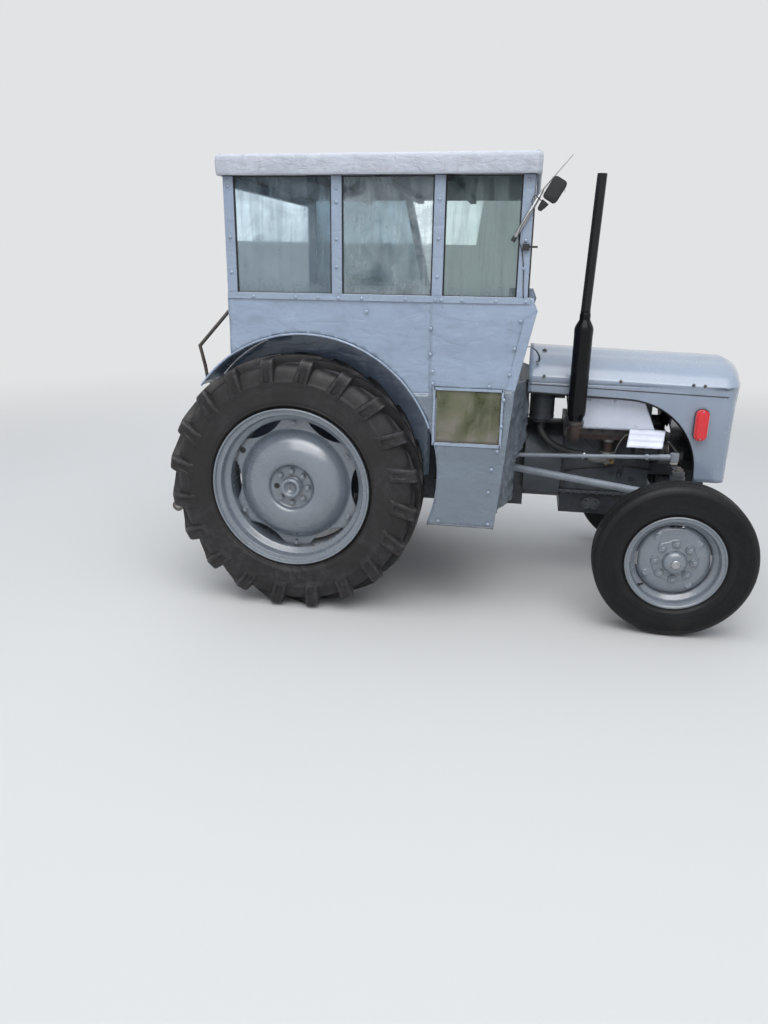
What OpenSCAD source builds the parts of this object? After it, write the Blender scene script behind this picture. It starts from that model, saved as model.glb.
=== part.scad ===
// Small grey utility tractor with a home-made cab.
// x runs forward, y to the tractor's left, z up from the ground. Lengths are in millimetres.
// Stations along x are measured from the rear axle, and from_axle() moves them to the middle of the whole.

/* [Wheels] */
// Distance from the rear axle to the front axle
wheelbase = 1778; // [1740:1:1820]
// Distance between the middles of the rear tyres
rear_track = 1222; // [1216:1:1240]
// Distance between the middles of the front tyres
front_track = 1230; // [1220:1:1250]
// Radius of the rear tyre out to its lugs
rear_tyre_r = 615; // [605:1:620]
// Width of the rear tyre
rear_tyre_w = 284; // [270:1:290]
// Height of the rear tyre's lugs
rear_lug_h = 32; // [20:1:38]
// Radius of the rear rim at its flange
rear_rim_r = 381; // [370:1:390]
// Radius of the front tyre
front_tyre_r = 362; // [355:1:368]
// Width of the front tyre
front_tyre_w = 165; // [155:1:168]
// Radius of the front rim at its flange
front_rim_r = 222; // [215:1:228]
// Thickness of the steel in the wheel discs
disc_t = 8; // [5:1:10]
// Radius of the circle of studs in both wheels
stud_circle_r = 76; // [72:1:80]
// Radius of the rear wheel's half-shaft
half_shaft_r = 32; // [28:1:36]
// Radius of the front wheel's stub axle
stub_r = 17; // [14:1:20]
// Radial clearance of a wheel or pin in its bearing
bearing_gap = 0.3; // [0.2:0.05:0.4]

/* [Front axle] */
// Distance between the kingpins
kingpin_track = 950; // [940:1:960]
// Radius of a kingpin
kingpin_r = 19; // [16:1:22]
// Height of the top of the kingpin sleeves
sleeve_top = 715; // [705:1:725]
// Length of the kingpin sleeves
sleeve_len = 155; // [140:1:165]
// Height of the axle beam
beam_h = 62; // [50:1:70]
// Thickness of the axle beam
beam_t = 58; // [50:1:64]
// Length of the steering arms, kingpin to ball
steering_arm = 135; // [128:1:142]
// Height of the drag links at the front
link_front_z = 772; // [768:1:780]
// Height of the drag links at the drop arms
link_rear_z = 730; // [720:1:740]
// Radius of a drag link
link_r = 10; // [8:1:12]
// Radius of a radius rod at its front end
radius_rod_r = 15; // [12:1:17]

/* [Engine] */
// Distance from the front of the engine block to the front axle
engine_to_axle = 78; // [74:1:88]
// Length of the engine block
engine_len = 435; // [425:1:440]
// Length of the bell housing
bell_len = 185; // [180:1:190]
// Width of the engine block
block_w = 260; // [240:1:270]
// Height of the top of the block
block_top = 900; // [890:1:905]
// Height of the top of the cylinder head
head_top = 985; // [975:1:990]
// Height of the top of the rocker cover
rocker_top = 1058; // [1045:1:1062]
// Height of the sump's flange
sump_flange_z = 528; // [520:1:536]
// Height of the bottom of the sump
sump_bottom = 402; // [390:1:415]
// Radius of the bell housing
bell_r = 205; // [195:1:210]
// Radius of the dynamo
dynamo_r = 55; // [48:1:58]
// Radius of the fan
fan_r = 175; // [160:1:185]
// Distance of the exhaust stack ahead of the engine's back
stack_ahead = 40; // [35:1:47]
// Distance of the exhaust stack from the middle
exhaust_y = 372; // [368:1:380]
// Radius of the silencer
silencer_r = 43; // [38:1:44]
// Radius of the exhaust pipe
stack_r = 22; // [18:1:24]
// Height of the top of the exhaust pipe
stack_top = 2012; // [1950:1:2050]

/* [Bonnet] */
// Distance of the bonnet's back edge ahead of the cab's front
bonnet_gap = 24; // [20:1:30]
// Distance of the front of the nose ahead of the front axle
nose_reach = 304; // [294:1:316]
// Width of the bonnet at its crease
bonnet_w = 620; // [608:1:626]
// Height of the bonnet's top at its back edge
bonnet_top = 1252; // [1245:1:1262]
// Height of the bonnet's crease at its back edge
crease_z = 1131; // [1125:1:1138]
// Fall of the bonnet towards the nose, in degrees
bonnet_fall = 1.7; // [1.4:0.1:2.0]
// Thickness of the bonnet
bonnet_t = 8; // [5:1:10]
// Distance of the bonnet's hinge pins behind the front of the nose
hinge_back = 122; // [114:1:132]
// Height of the bonnet's hinge pins
hinge_z = 668; // [662:1:674]

/* [Body] */
// Width over the cab's side panels
cab_w = 1360; // [1350:1:1370]
// Thickness of the cab's panels
panel_t = 12; // [8:1:14]
// Station of the cab's back posts
cab_back = -285; // [-295:1:-275]
// Distance of the cab's front behind the front of the gearbox
cab_setback = 32; // [28:1:40]
// Height of the cab's window sill
sill_z = 1500; // [1490:1:1510]
// Height of the underside of the roof
roof_z = 1980; // [1960:1:2000]
// Depth of the roof's edge
roof_h = 86; // [75:1:95]
// Overhang of the roof past the posts
roof_over = 22; // [16:1:30]
// Width of a cab post, seen from the side
post_w = 46; // [40:1:50]
// Thickness of a cab post
post_t = 30; // [24:1:34]
// Thickness of the panes
pane_t = 6; // [4:1:7]
// Height of the foot boards
floor_z = 470; // [462:1:478]
// Radius of the mudguards
guard_r = 628; // [622:1:632]
// Thickness of the mudguards
guard_t = 8; // [5:1:9]

/* [Rear lift] */
// Distance behind the rear axle of the tips of the lower links
link_reach = 781; // [765:1:790]
// Distance between the ball ends of the lower links
link_spread = 718; // [712:1:724]
// Radius of the pin hole in a lower link's ball
link_pin_r = 11.2; // [10:0.1:12]
// Length of a lift arm
lift_arm_len = 260; // [254:1:266]
// Radius of the top link's pin
top_pin_r = 9.6; // [9:0.1:11]

/* [Hidden] */

$fn = 64;
eps = 1;
seat_gap = 0.3;
run_gap = 6;
elbow_swell = 0.6;

// Stations along the machine, each from the one before it
engine_front = wheelbase - engine_to_axle;
engine_back = engine_front - engine_len;
gearbox_front = engine_back - bell_len;
cab_front = gearbox_front - cab_setback;
bonnet_back = cab_front + bonnet_gap;
nose_front = wheelbase + nose_reach;
hinge_x = nose_front - hinge_back;
exhaust_x = engine_back + stack_ahead;

half_track = rear_track / 2;
front_half = front_track / 2;
king_y = kingpin_track / 2;
ball_y = king_y - steering_arm;
cab_y = cab_w / 2;
panel_in = cab_y - panel_t;

// The whole machine reaches from the lower links' tips to the front of the front tyres
mid_x = (wheelbase + front_tyre_r - link_reach) / 2;

// Colours
paint = [0.47, 0.53, 0.58];
white_paint = [0.78, 0.79, 0.78];
cast_grey = [0.40, 0.44, 0.47];
steel = [0.62, 0.64, 0.66];
black_paint = [0.07, 0.07, 0.08];
rubber = [0.09, 0.09, 0.10];
silver = [0.76, 0.76, 0.77];
rust = [0.36, 0.22, 0.17];
pane = [0.75, 0.82, 0.82, 0.35];
cloth_grey = [0.45, 0.47, 0.47];

// Moves a piece from the rear axle's station to the middle of the machine
module from_axle() { translate([-mid_x, 0, 0]) children(); }

// A block from its lowest corner to its highest
module block(low, high) { translate(low) cube(high - low); }

// The same thing on both sides of the machine
module both_sides() {
    children();
    mirror([0, 1, 0]) children();
}

// A round bar from one point to another
module rod(from, to, r) {
    d = to - from;
    flat = norm([d[0], d[1]]);
    translate(from) rotate([0, atan2(flat, d[2]), atan2(d[1], d[0])]) cylinder(h = norm(d), r = r);
}

// A round bar along points, with round elbows
module bent_rod(points, r) {
    for (i = [0 : len(points) - 2]) rod(points[i], points[i + 1], r);
    for (i = [1 : len(points) - 2]) translate(points[i]) sphere(r = r + elbow_swell);
}

// A flat bar from one point to another, its width up and its thickness across
module flat_bar(from, to, w, t) {
    d = to - from;
    flat = norm([d[0], d[1]]);
    translate(from) rotate([0, 0, atan2(d[1], d[0])]) rotate([0, -atan2(d[2], flat), 0])
        translate([0, -t / 2, -w / 2]) cube([norm(d), t, w]);
}

// A wheel's profile from its outer half: the same points again, mirrored and in the other order
function both_edges(half) = concat(half, [for (i = [len(half) - 1 : -1 : 0]) [half[i][0], -half[i][1]]]);

// Turns a profile drawn as radius and distance outwards into a ring round a wheel's axle on the right
module wheel_ring(points) { rotate([90, 0, 0]) rotate_extrude($fn = 96) polygon(points); }

// A disc across the machine, from one distance out to another
module disc_y(x, z, r, from, to) {
    translate([x, from, z]) rotate([-90, 0, 0]) cylinder(h = to - from, r = r);
}

// Extrudes an outline drawn in x and z between two distances from the middle
module side_plate(from, to) {
    translate([0, to, 0]) rotate([90, 0, 0]) linear_extrude(to - from) children();
}

// Rear wheel on the right, its middle at the origin, outwards towards -y
rear_seat_r = 356;
rear_well_r = 318;
rim_t = 8;
dome_r = 268;
star_r = 326;
star_bolt_r = 301;
recess_r = 98;
hub_cup_r = 47;
dish = 92;
dome_out = 124;
cup_out = 128;
star_out = 36;

// Rear tyre: a casing, and lugs that slant in from both shoulders and lead towards the middle
lug_count = 20;
lug_root_r = 470;
lug_past = 10;

// A lug seen from outside the tyre: how far it leads at both of its edges, and how far out that is
lug_rows = [[-126, -66, rear_tyre_w / 2 + lug_past], [-126, -64, 108], [-86, -22, 62], [66, 130, -10]];

module lug() {
    edge = [for (row = lug_rows) [row[0], -row[2]]];
    lead = [for (i = [len(lug_rows) - 1 : -1 : 0]) [lug_rows[i][1], -lug_rows[i][2]]];
    translate([lug_root_r, 0, 0]) rotate([0, 90, 0])
        linear_extrude(rear_tyre_r + lug_past - lug_root_r) polygon(concat(edge, lead));
}

module rear_tyre(side) {
    w = rear_tyre_w / 2;
    crown = rear_tyre_r - rear_lug_h;
    color(rubber) from_axle() wheel_at(0, half_track, rear_tyre_r, side) {
        wheel_ring(both_edges([
            [crown, 50], [crown - 7, 92], [crown - 31, w - 24], [515, w - 12], [470, w - 4], [430, w - 5],
            [rear_rim_r + 12, 125], [rear_rim_r + seat_gap, 112], [rear_seat_r + seat_gap, 112]]));
        intersection() {
            wheel_ring(both_edges([
                [rear_tyre_r, 66], [rear_tyre_r - 6, w - 32], [rear_tyre_r - 19, w - 10], [560, w - 1],
                [500, w], [478, w - 7], [455, w - 30]]));
            for (i = [0 : lug_count - 1]) for (inner = [0, 1])
                rotate([0, (i + inner / 2) * 360 / lug_count, 0]) mirror([0, inner, 0]) lug();
        }
    }
}

// Puts a wheel drawn for the right at its place, mirrored for the left
module wheel_at(x, y, z, side) {
    if (side == "right") translate([x, -y, z]) children();
    else mirror([0, 1, 0]) translate([x, -y, z]) children();
}

module rear_rim() {
    wheel_ring(both_edges([
        [rear_well_r, 66], [rear_seat_r - rim_t, 80], [rear_seat_r - rim_t, 121], [rear_rim_r - 9, 121],
        [rear_rim_r - 9, 136], [rear_rim_r, 136], [rear_rim_r, 112], [rear_seat_r, 112],
        [rear_seat_r, 70], [rear_well_r + rim_t, 56]]));
}

// Outline of the disc's star: six tips that meet the rim's brackets
module star_outline() {
    difference() {
        circle(r = star_r);
        for (i = [0 : 5]) rotate(i * 60 + 30) translate([star_r + 148, 0]) circle(r = 192);
    }
}

module rear_disc() {
    wheel_ring([
        [0, dish], [recess_r, dish], [recess_r + 16, dome_out - 6], [142, dome_out], [185, 114],
        [225, 90], [252, 60], [dome_r, star_out - 1], [dome_r, star_out - disc_t + 1],
        [252 - disc_t, 60 - disc_t], [225 - disc_t, 90 - disc_t], [185, 114 - disc_t],
        [142, dome_out - disc_t], [recess_r + 18, dome_out - 14], [recess_r + 4, dish - disc_t],
        [0, dish - disc_t]]);
    side_plate(-star_out, -star_out + disc_t) difference() {
        star_outline();
        circle(r = dome_r - 6);
    }
}

// Brake drum and half-shaft, inside the disc
drum_r = 178;
drum_in = -38;
half_shaft_in = -100;

module rear_wheel(side) {
    color(paint) from_axle() wheel_at(0, half_track, rear_tyre_r, side) {
        rear_rim();
        rear_disc();
        // brackets between the rim's well and the star's tips
        for (i = [0 : 5]) rotate([0, i * 60, 0])
            block([star_bolt_r - 14, -star_out + disc_t - eps, -22], [rear_well_r + rim_t / 2, 0, 22]);
        for (i = [0 : 5]) rotate([0, i * 60, 0]) translate([star_bolt_r, -star_out + 3, 0])
            rotate([90, 0, 0]) cylinder(h = 17, r = 12, $fn = 6);
        for (i = [0 : 7]) if (i != 4) rotate([0, i * 45, 0]) translate([stud_circle_r, -dish + 3, 0])
            rotate([90, 0, 0]) cylinder(h = 19, r = 13, $fn = 6);
        // axle end cup
        wheel_ring([[0, dish - 2], [hub_cup_r, dish - 2], [hub_cup_r, cup_out - 8], [hub_cup_r - 6, cup_out],
                    [hub_cup_r - 14, cup_out], [hub_cup_r - 20, cup_out - 18], [0, cup_out - 18]]);
        // brake drum and half-shaft
        disc_y(0, 0, drum_r, -dish + disc_t, -drum_in - 68);
        disc_y(0, 0, half_shaft_r, -dish + disc_t, -half_shaft_in);
    }
}

// Front wheel on the right
front_seat_r = 203;
front_disc_r = 170;
front_hub_r = 100;
cap_r = 53;
front_disc_out = 26;
cap_out = 84;

rib_h = 8;
module front_tyre(side) {
    w = front_tyre_w / 2;
    color(rubber) from_axle() front_wheel_at(side) wheel_ring(both_edges([
        [front_tyre_r, 12], [front_tyre_r - rib_h, 14], [front_tyre_r - rib_h, 20], [front_tyre_r - 1, 22],
        [front_tyre_r - 2, 40], [front_tyre_r - 1 - rib_h, 42], [front_tyre_r - 1 - rib_h, 47],
        [front_tyre_r - 4, 49], [front_tyre_r - 9, 62], [front_tyre_r - 24, 70], [315, w - 6], [285, w],
        [262, w - 4], [front_rim_r + 8, 64], [front_rim_r + seat_gap, 56], [front_seat_r + seat_gap, 56]]));
}

module front_wheel_at(side) { wheel_at(wheelbase, front_half, front_tyre_r, side) children(); }

// The hub runs on the knuckle's stub axle
hub_in = -70;
module front_wheel(side) {
    color(paint) from_axle() front_wheel_at(side) {
        wheel_ring(both_edges([
            [168, 18], [front_seat_r - 6, 34], [front_seat_r - 6, 62], [front_rim_r - 7, 62],
            [front_rim_r - 7, 68], [front_rim_r, 68], [front_rim_r, 56], [front_seat_r, 56],
            [front_seat_r, 26], [174, 12]]));
        difference() {
            union() {
                wheel_ring([[0, front_disc_out], [118, front_disc_out], [150, front_disc_out - 8],
                            [169, 6], [169, -2], [146, front_disc_out - 17], [116, front_disc_out - 9],
                            [0, front_disc_out - 9]]);
                wheel_ring([[0, front_disc_out - 1], [front_hub_r, front_disc_out - 1],
                            [front_hub_r, front_disc_out + 7], [60, front_disc_out + 12], [cap_r, 44],
                            [cap_r - 3, 58], [38, 72], [22, 76], [20, cap_out], [0, cap_out]]);
                disc_y(0, 0, 58, -front_disc_out, -hub_in);
            }
            disc_y(0, 0, stub_r + bearing_gap, -38, -hub_in + eps);
        }
        for (i = [0 : 5]) rotate([0, i * 60 + 30, 0]) translate([stud_circle_r, -front_disc_out - 6, 0])
            rotate([90, 0, 0]) cylinder(h = 16, r = 11, $fn = 6);
    }
}

// Knuckle on the right: kingpin, stub axle, steering arm and the ball that the drag link pivots on
arm_t = 22;
arm_z = sleeve_top + 1;
module knuckle(side) {
    color(cast_grey) from_axle() mirror([0, side == "left" ? 1 : 0, 0]) {
        translate([wheelbase, -king_y, front_tyre_r - 30]) cylinder(h = arm_z + arm_t - front_tyre_r + 30, r = kingpin_r);
        translate([wheelbase, -king_y, front_tyre_r - 30])
            cylinder(h = sleeve_top - sleeve_len - 1 - front_tyre_r + 30, r = kingpin_r + 7);
        disc_y(wheelbase, front_tyre_r, 30, -front_half - hub_in + bearing_gap, -king_y);
        disc_y(wheelbase, front_tyre_r, stub_r, -(front_half + 36), -king_y);
        translate([wheelbase, -king_y, arm_z]) cylinder(h = arm_t, r = kingpin_r + 9);
        block([wheelbase - 16, -king_y, arm_z + 2], [wheelbase + 16, -ball_y, arm_z + arm_t - 2]);
        translate([wheelbase, -ball_y, arm_z + 2]) cylinder(h = arm_t - 4, r = 20);
        translate([wheelbase, -ball_y, arm_z + arm_t - 3]) cylinder(h = link_front_z - arm_z - arm_t + 3, r = 8);
    }
}

// Drag link on the right, from the drop arm's ball to the steering arm's ball
drop_x = gearbox_front - 150;
drop_y = 300;
drop_z = 930;
eye_r = 21;
module drag_link(side) {
    rear = [drop_x, -drop_y, link_rear_z];
    front = [wheelbase, -ball_y, link_front_z];
    along = (front - rear) / norm(front - rear);
    color(steel) from_axle() mirror([0, side == "left" ? 1 : 0, 0]) difference() {
        union() {
            rod(rear + along * 30, front, link_r);
            rod(rear + along * 8, rear + along * 60, 15);
            rod(front - along * 52, front - along * 18, 14);
            translate([wheelbase, -ball_y, link_front_z - 17]) cylinder(h = 36, r = eye_r);
        }
        translate([wheelbase, -ball_y, link_front_z - 18]) cylinder(h = 18, r = 8 + bearing_gap);
    }
}

// Drop arm on the right, hanging from the steering box's cross shaft
cross_shaft_r = 16;
arm_in = 226;
shaft_sunk = 30;
arm_out = 246;
module drop_arm(side) {
    color(cast_grey) from_axle() mirror([0, side == "left" ? 1 : 0, 0]) {
        side_plate(-arm_out, -arm_in) polygon([
            [drop_x - 24, drop_z], [drop_x - 17, drop_z + 17], [drop_x, drop_z + 24], [drop_x + 17, drop_z + 17],
            [drop_x + 24, drop_z], [drop_x + 16, link_rear_z], [drop_x, link_rear_z - 18],
            [drop_x - 16, link_rear_z]]);
        disc_y(drop_x, drop_z, cross_shaft_r, -arm_out - 8, -steering_box_w / 2 + shaft_sunk);
        disc_y(drop_x, link_rear_z, 9, -drop_y + 26, -arm_in);
    }
}

// Steering box on top of the clutch housing, with the column
steering_box_w = 190;
box_back = gearbox_front - 300;
box_front = gearbox_front - 95;
box_low = 881;
box_high = 1000;
column_foot = [gearbox_front - 250, 0, 985];
wheel_hub = [gearbox_front - 515, 0, 1262];
column_dir = (wheel_hub - column_foot) / norm(wheel_hub - column_foot);
column_len = norm(wheel_hub - column_foot);
column_tilt = atan2(column_foot[0] - wheel_hub[0], wheel_hub[2] - column_foot[2]);
column_shaft_r = 10;
steering_wheel_r = 208;

module on_column() { translate(column_foot) rotate([0, -column_tilt, 0]) children(); }

module steering_box() {
    color(cast_grey) from_axle() difference() {
        union() {
            block([box_back, -steering_box_w / 2, box_low], [box_front, steering_box_w / 2, box_high]);
            on_column() translate([0, 0, -30]) cylinder(h = column_len - 40, r = 27);
            both_sides() disc_y(drop_x, drop_z, 32, -arm_in + run_gap, -steering_box_w / 2 + eps);
        }
        both_sides() disc_y(drop_x, drop_z, cross_shaft_r + bearing_gap, -arm_in, -steering_box_w / 2 + shaft_sunk + eps);
        on_column() translate([0, 0, column_len - 150]) cylinder(h = 200, r = column_shaft_r + bearing_gap);
    }
}

module steering_wheel() {
    color(black_paint) from_axle() on_column() translate([0, 0, column_len]) {
        rotate_extrude() translate([steering_wheel_r - 12, 0]) circle(r = 12, $fn = 24);
        for (i = [0 : 2]) rotate([0, 0, 60 + i * 120]) rod([20, 0, -22], [steering_wheel_r - 12, 0, 0], 7);
        translate([0, 0, -40]) cylinder(h = 46, r = 26);
        translate([0, 0, -140]) cylinder(h = 110, r = column_shaft_r);
    }
}

// Front axle: beam, sleeves and the lugs that the radius rods bolt to
beam_z = 594;
module front_axle() {
    color(paint) from_axle() difference() {
        union() {
            block([wheelbase - beam_t / 2, -king_y, beam_z - beam_h / 2],
                  [wheelbase + beam_t / 2, king_y, beam_z + beam_h / 2]);
            both_sides() translate([wheelbase, -king_y, sleeve_top - sleeve_len])
                cylinder(h = sleeve_len, r = kingpin_r + 14);
        }
        both_sides() translate([wheelbase, -king_y, sleeve_top - sleeve_len - eps])
            cylinder(h = sleeve_len + 2 * eps, r = kingpin_r + bearing_gap);
        translate([wheelbase - beam_t, 0, beam_z]) rotate([0, 90, 0])
            cylinder(h = 2 * beam_t, r = axle_pin_r + bearing_gap);
    }
}

// Front support casting: carries the radiator, the axle's pin and the bonnet's hinge
axle_pin_r = 18;
support_w = 260;
support_z = beam_z + beam_h / 2 + run_gap;
support_top = 688;
module front_support() {
    cheek = beam_t / 2 + 2;
    color(cast_grey) from_axle() {
        block([engine_front, -support_w / 2, support_z], [hinge_x + 6, support_w / 2, support_top]);
        for (s = [-1, 1]) translate([wheelbase + s * (cheek + 8), 0, 0])
            block([-8, -60, beam_z - 34], [8, 60, support_z + eps]);
        translate([wheelbase - cheek - 8, 0, beam_z]) rotate([0, 90, 0]) cylinder(h = 2 * cheek + 16, r = axle_pin_r);
        disc_y(hinge_x, hinge_z, hinge_pin_r, -hinge_y, hinge_y);
    }
}

hinge_pin_r = 10;
hinge_y = 215;

// Radius rods from the clutch housing's brackets to the axle's back face
rod_rear = [gearbox_front - 130, -250, 668];
rod_front = [wheelbase - beam_t / 2, -king_y + 38, 606];
module radius_rods() {
    color(paint) from_axle() both_sides() {
        rod(rod_rear, rod_front - [12, 0, 0], radius_rod_r);
        block(rod_front - [24, 22, 24], rod_front + [-seat_gap, 22, 24]);
        translate(rod_rear) sphere(r = radius_rod_r + 4);
        rod(rod_rear, [rod_rear[0], -bracket_y - seat_gap, rod_rear[2]], 11);
    }
}

// Transmission: rear axle housing with its tubes, gearbox and bell housing
housing_w = 340;
bell_z = 662;
gearbox_w = 280;
bracket_y = 205;
tube_out = 41;
cross_x = -110;
cross_z = 886;
lift_shaft_r = 22;
lower_pin = [20, housing_w / 2 + 30, 446];
pin_r = 12;
tube_in_r = 92;
tube_end_r = 68;
tube_len = half_track - tube_out - housing_w / 2;

// Radius of an axle tube at a distance from the middle
function tube_r(y) = tube_in_r + (tube_end_r - tube_in_r) * (y - housing_w / 2) / tube_len;

module transmission() {
    color(cast_grey) from_axle() difference() {
        union() {
            block([-170, -housing_w / 2, 400], [180, housing_w / 2, 860]);
            block([-190, -150, 858], [170, 150, 930]);
            block([178, -gearbox_w / 2, 430], [gearbox_front + 2, gearbox_w / 2, 800]);
            block([box_back - 20, -gearbox_w / 2, 798], [gearbox_front + 2, gearbox_w / 2, box_low]);
            translate([gearbox_front, 0, bell_z]) rotate([0, 90, 0]) cylinder(h = bell_len, r = bell_r);
            block([rod_rear[0] - 50, -bracket_y, 620], [rod_rear[0] + 50, bracket_y, 700]);
            both_sides() {
                translate([0, -housing_w / 2, rear_tyre_r]) rotate([90, 0, 0])
                    cylinder(h = tube_len, r1 = tube_in_r, r2 = tube_end_r);
                disc_y(0, rear_tyre_r, drum_r + 4, -half_track + tube_out, -half_track + tube_out + 14);
                rod([lower_pin[0], -lower_pin[1] - 30, lower_pin[2]], [lower_pin[0], -housing_w / 2 + eps, lower_pin[2]], pin_r);
            }
        }
        both_sides() disc_y(0, rear_tyre_r, half_shaft_r + bearing_gap, -half_track - eps, -half_track - half_shaft_in + 2);
        disc_y(cross_x, cross_z, lift_shaft_r + bearing_gap, -housing_w, housing_w);
    }
}

// Power take-off and the bracket that the top link pins to
module rear_hitch() {
    color(cast_grey) from_axle() difference() {
        union() {
            translate([-170 - 58, 0, 600]) rotate([0, 90, 0]) cylinder(h = 58, r = 46);
            translate([-170 - 118, 0, 600]) rotate([0, 90, 0]) cylinder(h = 118, r = 17.5);
            for (s = [-1, 1]) translate([0, s * 34, 0])
                block([-252, -8, 700], [-170, 8, 840]);
            block([-190, -42, 700], [-170, 42, 840]);
        }
        disc_y(-226, 806, top_pin_r, -50, 50);
    }
}

module engine() {
    hw = block_w / 2;
    color(cast_grey) from_axle() {
        block([engine_back, -hw, sump_flange_z], [engine_front, hw, block_top]);
        block([engine_back + 22, -hw + 16, block_top - eps], [engine_front - 12, hw - 16, head_top]);
        block([engine_back + 60, -74, head_top - eps], [engine_front - 40, 74, rocker_top]);
        block([engine_back, -hw - 16, sump_flange_z - 14], [engine_front, hw + 16, sump_flange_z]);
        block([engine_back + 8, -hw, sump_bottom], [engine_front - 20, hw, sump_flange_z - 13]);
        // oval boss on the sump's side
        translate([engine_back + 168, -hw + eps, sump_bottom + 56]) rotate([90, 0, 0]) linear_extrude(13)
            hull() for (s = [-1, 1]) translate([s * 22, 0]) circle(r = 30);
        // oil filter on the left
        translate([engine_front - 110, hw + 46, 600]) cylinder(h = 170, r = 44);
        block([engine_front - 134, hw - eps, 690], [engine_front - 86, hw + 30, 750]);
    }
}

// Exhaust and inlet manifold with the carburettor hanging from it
manifold_y = 204;
carb = [engine_back + 221, -171, 722];
carb_r = 36;
module manifold() {
    hw = block_w / 2;
    color(rust) from_axle() {
        block([engine_back + 20, -manifold_y, 812], [engine_front - 112, -hw, 872]);
        translate([carb[0], carb[1], 742]) cylinder(h = 71, r = 24);
        translate([carb[0], carb[1], 690]) cylinder(h = 54, r = carb_r);
    }
}

shield_y = 262;
shield_t = 6;
shield_low = 876;
shield_high = 1030;
shield_flap_z = 822;
shield_flap_tilt = 30;
shield_flap_len = 118;
module heat_shield() {
    inner = -shield_y + shield_t;
    foot_y = -block_w / 2 + 30;
    back = engine_back + 82;
    front = engine_front - 60;
    flap = front - 36;
    color(silver) from_axle() {
        block([back, -shield_y, shield_low], [front, inner, shield_high]);
        block([back, -shield_y, shield_high - shield_t], [front, foot_y, shield_high]);
        for (x = [back + 33, front - 100])
            block([x, foot_y - 12, head_top], [x + 30, foot_y, shield_high - shield_t + eps]);
        // flap folded out over the dynamo
        flap_drop = shield_low - shield_flap_z;
        translate([flap, -shield_y, shield_low]) rotate([90 - shield_flap_tilt, 0, 0])
            translate([0, -flap_drop, 0]) cube([shield_flap_len, flap_drop + shield_t, shield_t]);
        block([flap, -shield_y, shield_low - 1], [front, inner, shield_low + 30]);
    }
}

dynamo_y = 242;
dynamo_z = 782;
module dynamo() {
    hw = block_w / 2;
    color([0.30, 0.28, 0.27]) from_axle() {
        translate([engine_front - 104, -dynamo_y, dynamo_z]) rotate([0, 90, 0]) cylinder(h = 140, r = dynamo_r);
        translate([engine_front + 35, -dynamo_y, dynamo_z]) rotate([0, 90, 0]) cylinder(h = 26, r = 36);
        block([engine_front - 80, -dynamo_y, dynamo_z - 50], [engine_front - 20, -hw, dynamo_z - 30]);
        // starter motor on the left
        translate([engine_back, 190, 580]) rotate([0, 90, 0]) cylinder(h = 210, r = 50);
    }
}

// Oil-bath air cleaner, its hose and the silver inlet pipe
cleaner = [engine_back - 117, -190, 905];
hose_end = [engine_back + 155, -236, carb[2]];
carb_in = (carb - hose_end) / norm(carb - hose_end);
module air_intake() {
    color([0.16, 0.17, 0.18]) from_axle() {
        translate(cleaner) cylinder(h = 165, r = 62);
        translate(cleaner - [0, 0, 15]) cylinder(h = 18, r = 40);
        bent_rod([cleaner - [0, 0, 5], [engine_back - 115, -212, 850], [engine_back - 25, -236, 770],
                  [engine_back + 65, -237, 740], hose_end, carb - carb_in * (carb_r + seat_gap)], 20);
    }
}

// Silencer standing outside the bonnet, with its stack and elbow
silencer_low = 955;
silencer_high = 1385;
module exhaust() {
    color(black_paint) from_axle() {
        translate([exhaust_x, -exhaust_y, silencer_low]) cylinder(h = silencer_high - silencer_low, r = silencer_r);
        translate([exhaust_x, -exhaust_y, silencer_high - eps]) cylinder(h = 24, r1 = silencer_r - 14, r2 = stack_r);
        difference() {
            rod([exhaust_x, -exhaust_y, silencer_high], [exhaust_x + 18, -exhaust_y, stack_top], stack_r);
            rod([exhaust_x + 15, -exhaust_y, stack_top - 120], [exhaust_x + 19, -exhaust_y, stack_top + 30], stack_r - 3);
        }
        bent_rod([[exhaust_x, -exhaust_y, silencer_low + eps], [exhaust_x, -exhaust_y, 842],
                  [exhaust_x, -manifold_y, 842]], 26);
    }
}

fan_z = 868;
fan_x = engine_front + 66;
module fan() {
    color(black_paint) from_axle() {
        translate([engine_front, 0, fan_z]) rotate([0, 90, 0]) cylinder(h = 52, r = 44);
        translate([fan_x - 16, 0, fan_z]) rotate([0, 90, 0]) cylinder(h = 22, r = 34);
        for (i = [0 : 3]) translate([fan_x, 0, fan_z]) rotate([45 + i * 90, 0, 0])
            rotate([0, 0, 28]) block([-3, -34, 20], [3, 34, fan_r]);
        translate([engine_front, 0, 744]) rotate([0, 90, 0]) cylinder(h = 40, r = 52);
    }
}

radiator_x = engine_front + 138;
radiator_top = bonnet_top - 132;
radiator_w = 430;
module radiator() {
    hw = radiator_w / 2;
    color(black_paint) from_axle() {
        block([radiator_x, -hw, support_top], [radiator_x + 70, hw, support_top + 44]);
        block([radiator_x + 6, -hw + 10, support_top + 42], [radiator_x + 64, hw - 10, radiator_top - 52]);
        block([radiator_x, -hw, radiator_top - 54], [radiator_x + 76, hw, radiator_top]);
        translate([radiator_x + 36, 0, radiator_top - 2]) cylinder(h = 24, r = 30);
    }
}

module fuel_tank() {
    tank_half = bonnet_w / 2 - 120;
    tank_top = bonnet_top - 72;
    color(paint) from_axle() {
        block([engine_back + 15, -tank_half, rocker_top + 12], [engine_front - 10, tank_half, tank_top]);
        translate([engine_front - 140, 0, tank_top - 2]) cylinder(h = 16, r = 34);
        for (x = [engine_back + 65, engine_front - 90]) for (s = [-1, 1])
            translate([x, s * 86, head_top]) cylinder(h = rocker_top + 13 - head_top, r = 9);
    }
}

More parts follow.
